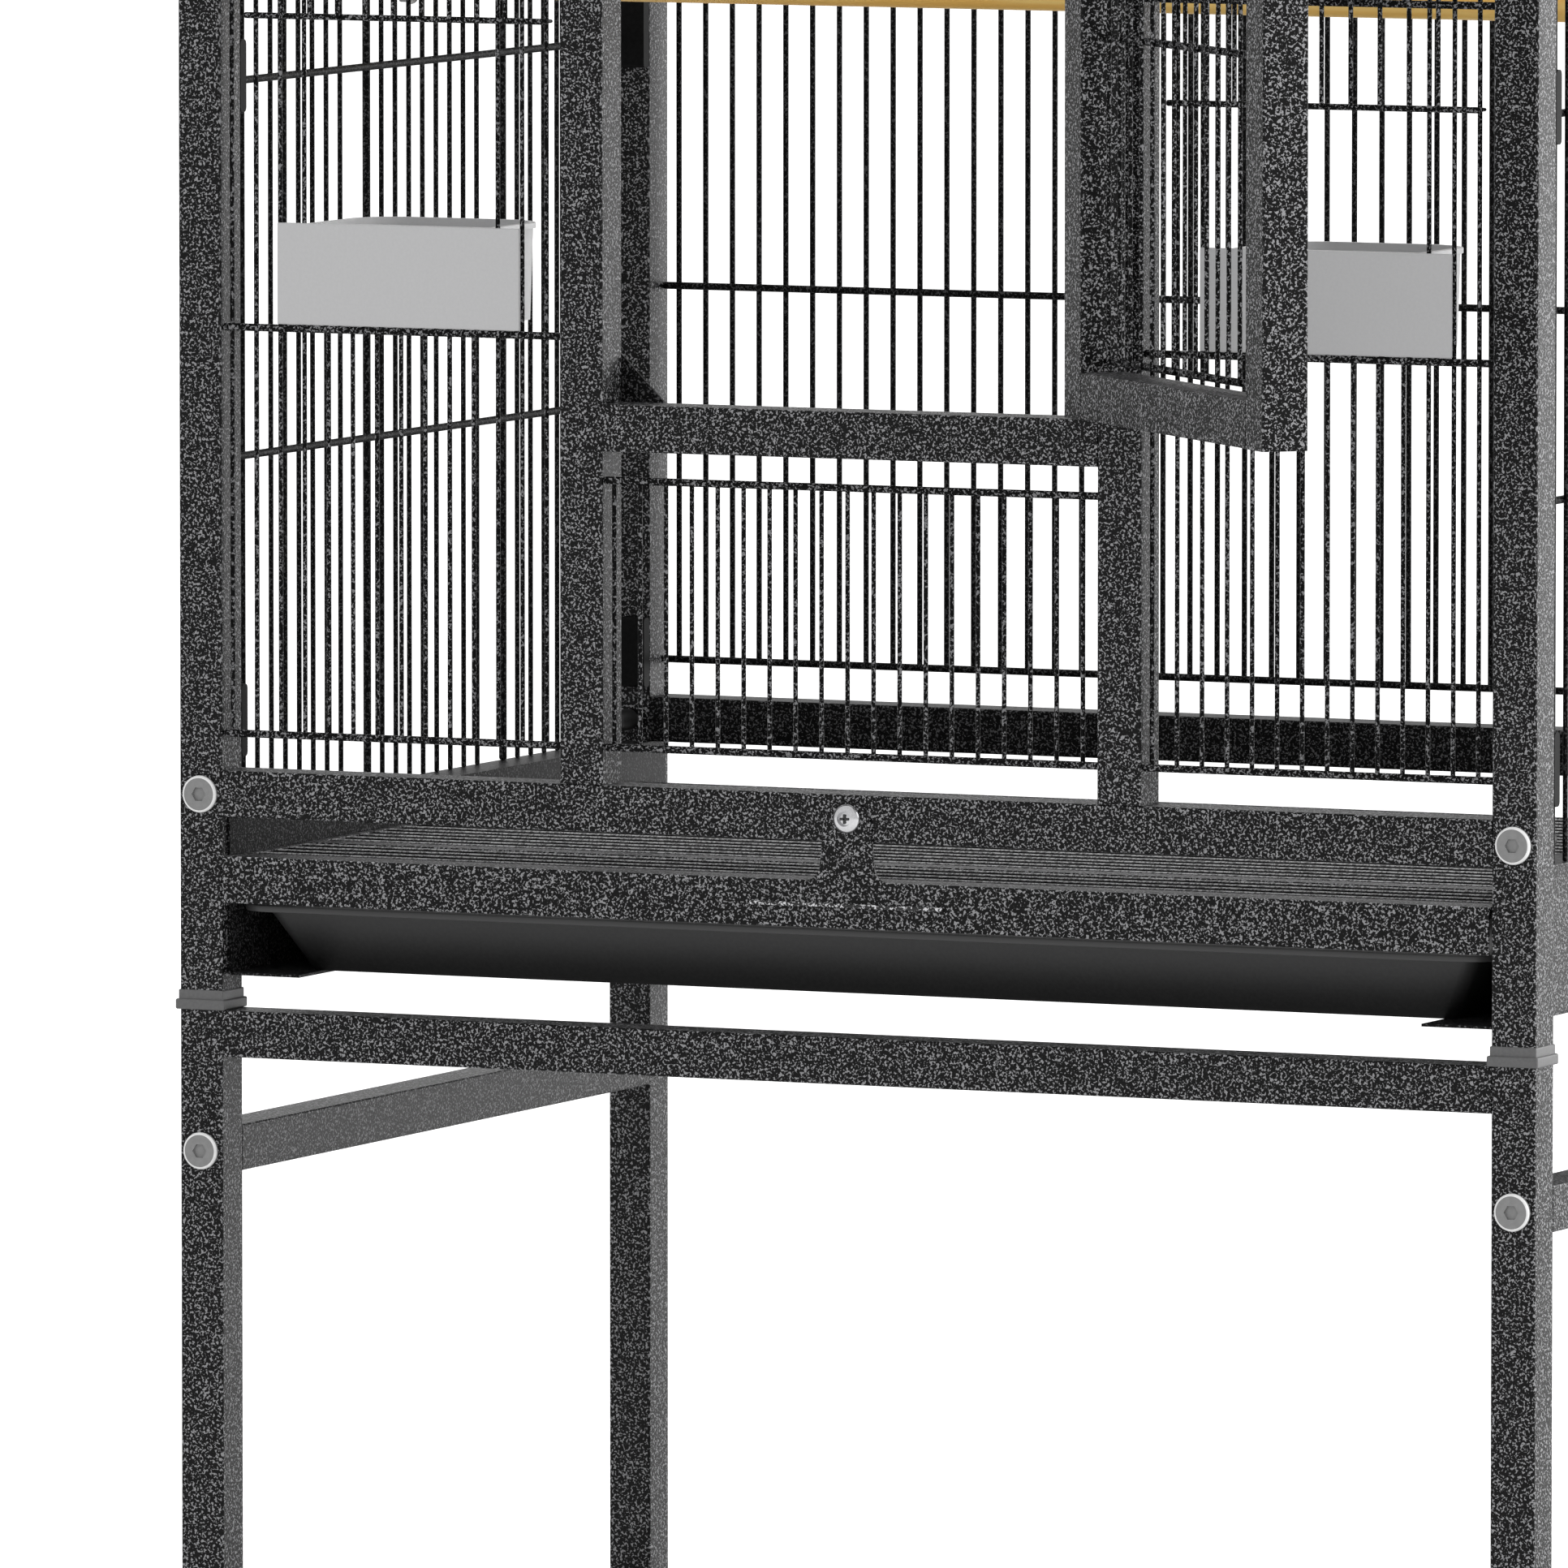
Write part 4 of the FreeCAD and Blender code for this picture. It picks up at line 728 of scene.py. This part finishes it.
def door_gussets():
    bm = bmesh.new()
    sill_top = whole("door_sill_rail")[1].z
    for low, high in solids("door_gussets"):
        square, far = (low.z, high.z) if low.z < sill_top else (high.z, low.z)
        corners = [(low.x, low.y, square), (high.x, low.y, square), (low.x, low.y, far)]
        plate(bm, corners, (0, high.y - low.y, 0))
    bmesh.ops.recalc_face_normals(bm, faces=bm.faces)
    # The gussets take the darker copy of the coat as painted shade.
    piece(bm, "door_stop_gussets", "powder_coat", "door_gussets", finishes=("painted_shade_coat",))


door_frame()
hinge_barrels()
hinge_straps()
door_latch()
door_gussets()


# Feeder doors and cups
def feeder_door(node):
    """Wires with guide rings on short stems, which ride on two uprights of the bay."""
    bm = bmesh.new()
    rings = []
    cross_bars = []
    for low, high in solids(node):
        if max(high - low) <= LONGEST_RING:
            rings.append((low, high))
            continue
        wire(bm, low, high)
        if long_axis(low, high) == X:
            cross_bars.append((low + high) / 2)
    for low, high in rings:
        middle = (low + high) / 2
        hole = Vector((middle.x, high.y - (high.x - low.x) / 2, middle.z))
        ring(bm, hole, GUIDE_RING, GUIDE_GAUGE)
        bar_y = min(cross_bars, key=lambda spot: abs(spot.z - middle.z)).y
        stem = hole.y - GUIDE_RING - bar_y
        disc(bm, (middle.x, bar_y + stem / 2, middle.z), Y, GUIDE_GAUGE, stem, sides=RING_SIDES)
    bmesh.ops.recalc_face_normals(bm, faces=bm.faces)
    piece(bm, f"{node}_wirework", "powder_coat", node, finishes=("front_wire_coat",))


def cup(node):
    """A front plate with an open bowl behind it."""
    low, high = whole(node)
    bm = bmesh.new()
    front = low.y + CUP_PLATE
    soft_block(bm, low, (high.x, front, high.z), CUP_PLATE_EDGE, segments=2)
    rim_low = (low.x + CUP_BOWL_INSET, front, high.z - CUP_LIP_HEIGHT)
    rim = block(bm, rim_low, (high.x - CUP_BOWL_INSET, high.y, high.z))
    rear = [edge for edge in edges_of(rim) if runs_along(edge, Z) and edge.verts[0].co.y > front + CUP_CORNER]
    round_off(bm, rear, CUP_CORNER, segments=8)
    bm.normal_update()
    behind = [face for face in bm.faces if face.calc_center_median().y > front]
    bottom, top = lowest_and_highest(face for face in behind if abs(face.normal.z) > LEVEL)
    edge_loop = list(top.edges)
    depth = high.z - low.z - CUP_LIP_HEIGHT - CUP_BOWL_LIFT
    sink(bm, bottom, CUP_LIP, depth, CUP_DRAFT)
    sink(bm, top, CUP_LIP + CUP_WALL, depth + CUP_LIP_HEIGHT - CUP_WALL, CUP_DRAFT)
    round_off(bm, edge_loop, CUP_LIP_EDGE, segments=2)
    piece(bm, f"{node}_moulding", "cup_plastic", node)


for node in ("left_feeder_door", "right_feeder_door"):
    feeder_door(node)
for node in ("left_cup", "right_cup"):
    cup(node)


# Grate, tray and their runners
def grate_bars(bm):
    """Side and rear bars of the grate, and the strip behind its flap."""
    low, high = deepest_solid("grate_frame")
    left = low.x + GRATE_BAR
    right = high.x - GRATE_BAR
    bar(bm, low, (left, high.y, high.z), GRATE_EDGE)
    bar(bm, (right, low.y, low.z), high, GRATE_EDGE)
    bar(bm, (left, high.y - GRATE_BAR, low.z), (right, high.y, high.z), GRATE_EDGE)
    bar(bm, (left, low.y, high.z - SHEET), (right, low.y + GRATE_STRIP, high.z), SHEET_EDGE)


def grate_flap(bm, low, high):
    """The folded flap with its tab, with a painted highlight along the shoulder."""
    fold = low.z + FLAP_HEIGHT
    back = low.y + SHEET
    outline = [
        (low.x, fold), (low.x, low.z), (high.x, low.z), (high.x, fold),
        (TAB_BASE / 2, fold), (TAB_TOP / 2, high.z), (-TAB_TOP / 2, high.z), (-TAB_BASE / 2, fold),
    ]
    plate(bm, [(x, back, z) for x, z in outline], (0, -SHEET, 0))
    crown = corner_edges(bm, -TAB_TOP / 2, high.z) + corner_edges(bm, TAB_TOP / 2, high.z)
    round_off(bm, crown, TAB_ROUND, segments=6)
    flare = corner_edges(bm, -TAB_BASE / 2, fold) + corner_edges(bm, TAB_BASE / 2, fold)
    round_off(bm, flare, TAB_FLARE, segments=5)
    bar(bm, (low.x, back, fold - SHEET), (high.x, high.y, fold), SHEET_EDGE)
    ridge = Vector((low.y, fold))
    shoulder = [
        edge for edge in bm.edges
        if runs_along(edge, X) and edge.calc_length() > FINGER_LIP
        and all((vert.co.yz - ridge).length < SAME_POINT for vert in edge.verts)
    ]
    # The rounded shoulder takes the bright coat, a painted highlight.
    coat_faces(round_off(bm, shoulder, FLAP_SHOULDER), 1)


def finger_lip(flap_low):
    """The pressed lip on the flap's face, painted bright as a highlight."""
    lip_low = (-FINGER_LIP / 2, flap_low.y - LIP_STEP, flap_low.z + LIP_RISE)
    lip_high = (FINGER_LIP / 2, flap_low.y + SHEET, flap_low.z + LIP_RISE + LIP_THICK)
    lip = bmesh.new()
    soft_block(lip, lip_low, lip_high, LIP_EDGE)
    # The whole lip takes the bright coat, a painted highlight.
    coat_faces(lip.faces, 1)
    return lip


def grate_frame():
    bm = bmesh.new()
    boxes = solids("grate_frame")
    flap_low, flap_high = max(boxes, key=lambda box: box[1].z)
    grate_bars(bm)
    for low, high in boxes:
        if high.y - low.y < TUBE and high.z < flap_high.z:
            bar(bm, low, high, GRATE_EDGE)
    grate_flap(bm, flap_low, flap_high)
    stamp(bm, finger_lip(flap_low))
    bmesh.ops.recalc_face_normals(bm, faces=bm.faces)
    piece(bm, "grate_flap_and_bars", "powder_coat", "grate_frame", finishes=("powder_coat", "painted_highlight_coat"))


def screw_dome(radius):
    """A domed head with a sunk middle, looking up from the origin."""
    dome = bmesh.new()
    bmesh.ops.create_uvsphere(dome, u_segments=24, v_segments=18, radius=radius)
    ball = dome.verts[:] + dome.edges[:] + dome.faces[:]
    bmesh.ops.bisect_plane(dome, geom=ball, plane_co=(0, 0, 0), plane_no=(0, 0, 1), clear_inner=True)
    bmesh.ops.scale(dome, vec=(1, 1, SCREW_RISE / radius), verts=dome.verts)
    dome.normal_update()
    reach = radius * SCREW_CROWN_SHARE
    crown = [face for face in dome.faces if face.calc_center_median().xy.length < reach]
    bmesh.ops.inset_region(dome, faces=crown, thickness=SCREW_INSET)
    sunk = list(dict.fromkeys(vert for face in crown for vert in face.verts))
    bmesh.ops.translate(dome, vec=(0, 0, -SCREW_SINK), verts=sunk)
    return dome


def screw_cross(centre):
    """The cross recess of the head, two black blades as painted shade."""
    cross = bmesh.new()
    level = Vector((CROSS_HALF, CROSS_HALF_DEPTH, CROSS_HALF_WIDTH))
    upright = Vector((CROSS_HALF_WIDTH, CROSS_HALF_DEPTH, CROSS_HALF))
    for blade in (level, upright):
        soft_block(cross, centre - blade, centre + blade, CROSS_EDGE)
    # The blades take the black zinc, painted shade in the recess.
    coat_faces(cross.faces, 1)
    return cross


def grate_screw():
    low, high = whole("grate_screw")
    middle = (low + high) / 2
    face_y = low.y + SCREW_RISE
    place = Matrix.Translation((middle.x, face_y, middle.z)) @ Matrix.Rotation(pi / 2, 4, "X")
    bm = bmesh.new()
    stamp(bm, screw_dome((high.x - low.x) / 2), place)
    stamp(bm, screw_cross(Vector((middle.x, low.y + CROSS_PLACE, middle.z))))
    disc(bm, (middle.x, (face_y + high.y) / 2, middle.z), Y, SCREW_SHANK, high.y - face_y, sides=16)
    piece(bm, "grate_dome_screw", "screw_chrome", "grate_screw", finishes=("screw_chrome", "black_zinc_and_recess_shade"))


def tray():
    """A pan with sloped walls and a flat rim."""
    low, high = whole("tray")
    height = high.z - low.z
    depth = height - TRAY_RIM_SHEET
    bm = bmesh.new()
    rim = block(bm, (low.x, low.y, high.z - TRAY_RIM_SHEET), high)
    round_off(bm, [edge for edge in edges_of(rim) if runs_along(edge, Z)], TRAY_CORNER, segments=6)
    bm.normal_update()
    bottom, top = lowest_and_highest(face for face in bm.faces if abs(face.normal.z) > LEVEL)
    outer = list(dict.fromkeys(edge for face in (bottom, top) for edge in face.edges))
    sink(bm, bottom, TRAY_RIM, depth, TRAY_SLOPE * depth / height)
    sink(bm, top, TRAY_RIM + TRAY_WALL, height - TRAY_WALL, TRAY_SLOPE)
    round_off(bm, outer, TRAY_EDGE, segments=2)
    piece(bm, "litter_tray", "tray_plastic", "tray")


def runner(node, inward):
    """A folded sheet: flange for the side wires, web, ledge for the grate and foot for the tray."""
    low, high = whole(node)
    outer, foot_edge = (low.x, high.x) if inward > 0 else (high.x, low.x)
    back = outer + inward * RUNNER_FLANGE
    web = back + inward * SHEET
    ledge_edge = back + inward * RUNNER_LEDGE
    foot = whole("tray")[0].z - SEAT_GAP
    ledge = deepest_solid("grate_frame")[0].z - SEAT_GAP
    outline = [
        (back, low.z), (foot_edge, low.z), (foot_edge, foot), (web, foot),
        (web, ledge - SHEET), (ledge_edge, ledge - SHEET), (ledge_edge, ledge), (web, ledge),
        (web, high.z), (back, high.z),
    ]
    bm = bmesh.new()
    plate(bm, [(x, low.y, z) for x, z in outline], (0, high.y - low.y, 0))
    round_off(bm, corner_edges(bm, back, low.z), RUNNER_FOLD)
    rails_low, rails_high = whole("side_top_rails")
    flange_low = (min(outer, back), rails_low.y, high.z - SHEET)
    bar(bm, flange_low, (max(outer, back), rails_high.y, high.z), SHEET_EDGE, Y)
    bmesh.ops.recalc_face_normals(bm, faces=bm.faces)
    # Faces that look out of the cage take the plain coat; all other faces keep the darker copy, painted shade.
    coat_faces([face for face in bm.faces if face.normal.x * inward < -SIDEWAYS], 1)
    piece(bm, f"{node}_folded", "powder_coat", node, finishes=("painted_shade_coat", "powder_coat"))


grate_frame()
grate_screw()
tray()
runner("left_runner", 1)
runner("right_runner", -1)


# Fittings
def panel_hooks():
    bm = bmesh.new()
    for low, high in solids("panel_hooks"):
        bar(bm, low, high, HOOK_ROUND, X)
    piece(bm, "panel_hook_brackets", "powder_coat", "panel_hooks", finishes=("black_plastic",))


def bolt_head(radius):
    """A flat round head with a painted highlight on its rim and a hexagon socket, looking up from the origin."""
    head = bmesh.new()
    disc(head, (0, 0, BOLT_HEAD / 2), Z, radius, BOLT_HEAD, sides=36)
    rim = [edge for edge in head.edges if min(vert.co.z for vert in edge.verts) > BOLT_HEAD / 2]
    # The rounded rim takes the near-white zinc, a painted highlight.
    coat_faces(round_off(head, rim, BOLT_RIM), 1)
    top = lowest_and_highest(head.faces)[1]
    inset = radius * BOLT_SOCKET_INSET_SHARE
    bmesh.ops.inset_region(head, faces=[top], thickness=inset, use_even_offset=True)
    sixth = pi / 3
    for vert in top.verts:
        angle = atan2(vert.co.y, vert.co.x)
        reach = BOLT_SOCKET * cos(sixth / 2) / cos(angle % sixth - sixth / 2)
        vert.co.xy = (reach * cos(angle), reach * sin(angle))
    socket = bmesh.ops.extrude_discrete_faces(head, faces=[top])["faces"][0]
    bmesh.ops.translate(head, vec=(0, 0, -BOLT_SOCKET_DEPTH), verts=socket.verts)
    return head


def barrel_nut(centre):
    nut = bmesh.new()
    disc(nut, centre, Y, NUT_RADIUS, NUT_LENGTH, sides=24, edge=NUT_EDGE)
    coat_faces(nut.faces, 2)
    return nut


def bolts():
    """Bolts with their heads outward, front and rear, and barrel nuts on their ends."""
    bm = bmesh.new()
    for low, high in solids("frame_bolts"):
        middle = (low + high) / 2
        outward = 1 if middle.y > 0 else -1
        tip_y, end_y = (high.y, low.y) if outward > 0 else (low.y, high.y)
        face_y = tip_y - outward * BOLT_HEAD
        shank_y = (face_y + end_y) / 2
        nut_y = end_y + outward * NUT_LENGTH / 2
        place = Matrix.Translation((middle.x, face_y, middle.z)) @ Matrix.Rotation(-outward * pi / 2, 4, "X")
        stamp(bm, bolt_head((high.x - low.x) / 2), place)
        disc(bm, (middle.x, shank_y, middle.z), Y, BOLT_SHANK, abs(face_y - end_y), sides=12)
        stamp(bm, barrel_nut((middle.x, nut_y, middle.z)))
    zincs = ("bolt_steel", "painted_highlight_zinc", "black_zinc_and_recess_shade")
    piece(bm, "frame_bolts_and_nuts", "bolt_steel", "frame_bolts", finishes=zincs)


def leg_collars():
    """Collars in two steps between the stand legs and the posts."""
    leg_top = whole("stand_legs")[1].z
    post_foot = whole("front_left_post")[0].z
    step = leg_top + COLLAR_STEP
    bm = bmesh.new()
    for low, high in solids("leg_collars"):
        soft_block(bm, (low.x, low.y, leg_top), (high.x, high.y, step), COLLAR_EDGE)
        upper_low = (low.x + COLLAR_DRAW, low.y + COLLAR_DRAW, step - COLLAR_OVERLAP)
        upper_high = (high.x - COLLAR_DRAW, high.y - COLLAR_DRAW, post_foot)
        soft_block(bm, upper_low, upper_high, COLLAR_TOP_EDGE)
    piece(bm, "leg_collar_mouldings", "collar_plastic", "leg_collars")


def post_caps():
    post_top = whole("front_left_post")[1].z
    bm = bmesh.new()
    for low, high in solids("post_caps"):
        soft_block(bm, (low.x, low.y, post_top), high, CAP_EDGE)
    piece(bm, "post_cap_mouldings", "black_plastic", "post_caps")


def perch():
    low, high = whole("perch")
    bm = bmesh.new()
    disc(bm, (low + high) / 2, X, (high.z - low.z) / 2, high.x - low.x, sides=40, edge=PERCH_EDGE)
    piece(bm, "perch_dowel", "perch_wood", "perch")


def perch_nuts():
    """A washer and a wing nut at each end of the perch."""
    bm = bmesh.new()
    for low, high in solids("perch_fixings"):
        middle = (low + high) / 2
        outward = 1 if low.x > 0 else -1
        outer = high.x if outward > 0 else low.x
        nut_x = outer - outward * WING_NUT / 2
        disc(bm, (nut_x, middle.y, middle.z), X, WING_NUT_RADIUS, WING_NUT, sides=24, edge=WING_NUT_EDGE)
        wing_x = outer - outward * WING_NUT * WING_SEAT_SHARE
        for wing in (-1, 1):
            centre = Vector((wing_x, middle.y, middle.z + wing * WING_REACH))
            soft_block(bm, centre - WING_HALF, centre + WING_HALF, WING_NUT_EDGE)
        washer_x = outer - outward * (WING_NUT + WASHER / 2)
        disc(bm, (washer_x, middle.y, middle.z), X, (high.z - low.z) / 2, WASHER, edge=WASHER_EDGE)
    piece(bm, "perch_wing_nuts", "bolt_steel", "perch_fixings")


panel_hooks()
bolts()
leg_collars()
post_caps()
perch()
perch_nuts()


# Casters
def caster_wheel(corner):
    low, high = whole(f"{corner}_wheel")
    axle = (low + high) / 2
    radius = (high.z - low.z) / 2
    width = high.x - low.x
    bm = bmesh.new()
    disc(bm, axle, X, radius, width, sides=48, edge=TYRE_EDGE)
    disc(bm, axle, X, radius * HUB_SHARE, width + HUB_PROUD, edge=HUB_EDGE)
    piece(bm, f"{corner}_tyre_and_hub", "wheel_rubber", f"{corner}_wheel")


def caster_fork(corner):
    """A round crown on its stem, with two cheeks that reach back to the axle."""
    low, high = whole(f"{corner}_wheel")
    axle = (low + high) / 2
    width = high.x - low.x
    legs = solids("stand_legs")
    leg_low, leg_high = min(legs, key=lambda box: ((box[0] + box[1]) / 2 - axle).xy.length)
    stem = (leg_low + leg_high) / 2
    crown = leg_low.z - CROWN_DROP
    bm = bmesh.new()
    disc(bm, (stem.x, stem.y, crown), Z, CROWN_RADIUS, CROWN_THICK, edge=CROWN_EDGE)
    disc(bm, (stem.x, stem.y, leg_low.z + STEM_RISE), Z, STEM_RADIUS, STEM_LENGTH, sides=16)
    cheek = [
        (stem.y - FORK_HALF, crown), (axle.y - FORK_HALF, axle.z - FORK_HALF),
        (axle.y + FORK_HALF, axle.z - FORK_HALF), (axle.y + FORK_HALF, axle.z + FORK_HALF),
        (stem.y + FORK_HALF, crown),
    ]
    for side in (-1, 1):
        x = stem.x + side * (width / 2 + FORK_GAP)
        plate(bm, [(x, y, z) for y, z in cheek], (side * FORK_SHEET, 0, 0))
    span = width + 2 * (FORK_GAP + FORK_SHEET)
    disc(bm, axle, X, AXLE_RADIUS, span, sides=16)
    disc(bm, axle, X, AXLE_CAP, span + AXLE_CAP_PROUD, sides=16, edge=AXLE_CAP_EDGE)
    bmesh.ops.recalc_face_normals(bm, faces=bm.faces)
    piece(bm, f"{corner}_fork", "caster_plastic", f"{corner}_caster")


def leg_plugs():
    leg_foot = whole("stand_legs")[0].z
    bm = bmesh.new()
    for low, high in solids("leg_plugs"):
        soft_block(bm, low, (high.x, high.y, leg_foot), PLUG_EDGE)
    piece(bm, "leg_plug_flanges", "black_plastic", "leg_plugs")


for corner in ("front_left", "rear_left", "front_right", "rear_right"):
    caster_wheel(corner)
    caster_fork(corner)
leg_plugs()


# Floor, light and camera
def link_to_scene(name, content):
    obj = bpy.data.objects.new(name, content)
    bpy.context.scene.collection.objects.link(obj)
    return obj


def look_at(obj, target):
    obj.rotation_euler = (target - obj.location).to_track_quat("-Z", "Y").to_euler()


def background_rays(tree):
    """1 for the rays that show the background, straight on, in gloss or through glass."""
    path = add(tree, "ShaderNodeLightPath")
    seen = combine(tree, "MAXIMUM", path.outputs["Is Camera Ray"], path.outputs["Is Glossy Ray"])
    return combine(tree, "MAXIMUM", seen, path.outputs["Is Transmission Ray"])


def backdrop():
    """White to look at, a little less as a light."""
    world = bpy.data.worlds.new("studio")
    world.use_nodes = True
    bpy.context.scene.world = world
    tree = world.node_tree
    background = tree.nodes["Background"]
    background.inputs["Color"].default_value = (1, 1, 1, 1)
    strength = spread(tree, background_rays(tree), 0.0, 1.0, WORLD_LIGHT, 1.0)
    tree.links.new(strength, background.inputs["Strength"])


def pale_floor():
    bm = bmesh.new()
    bmesh.ops.create_grid(bm, x_segments=1, y_segments=1, size=FLOOR_HALF)
    mesh = bpy.data.meshes.new("floor")
    bm.to_mesh(mesh)
    bm.free()
    material, tree, shader = finish(
        "pale_floor", Base_Color=grey(0.85), Roughness=0.9, Specular_IOR_Level=0.0, Emission_Color=grey(1),
    )
    glow = combine(tree, "MULTIPLY", background_rays(tree), FLOOR_GLOW)
    tree.links.new(glow, shader.inputs["Emission Strength"])
    mesh.materials.append(material)
    link_to_scene("floor", mesh)


def softbox(name, place, side, watts):
    """A square lamp that faces the cage."""
    lamp = bpy.data.lights.new(name, "AREA")
    lamp.shape = "SQUARE"
    lamp.size = side
    lamp.energy = watts
    obj = link_to_scene(name, lamp)
    obj.location = place
    look_at(obj, LIGHT_TARGET)
    return obj


def lamps():
    """One soft light from the right, and a card behind that only gloss sees."""
    softbox("right_softbox", SOFTBOX_PLACE, SOFTBOX_SIDE, SOFTBOX_WATTS)
    card = softbox("rear_gloss_card", CARD_PLACE, CARD_SIDE, CARD_WATTS)
    card.visible_diffuse = False


def camera():
    lens = bpy.data.cameras.new("camera")
    lens.lens = CAMERA_LENS
    lens.sensor_width = CAMERA_SENSOR
    lens.clip_end = CAMERA_REACH
    obj = link_to_scene("camera", lens)
    obj.location = CAMERA_PLACE
    look_at(obj, CAMERA_TARGET)
    bpy.context.scene.camera = obj


backdrop()
pale_floor()
lamps()
camera()
bpy.context.scene.view_settings.view_transform = "Standard"
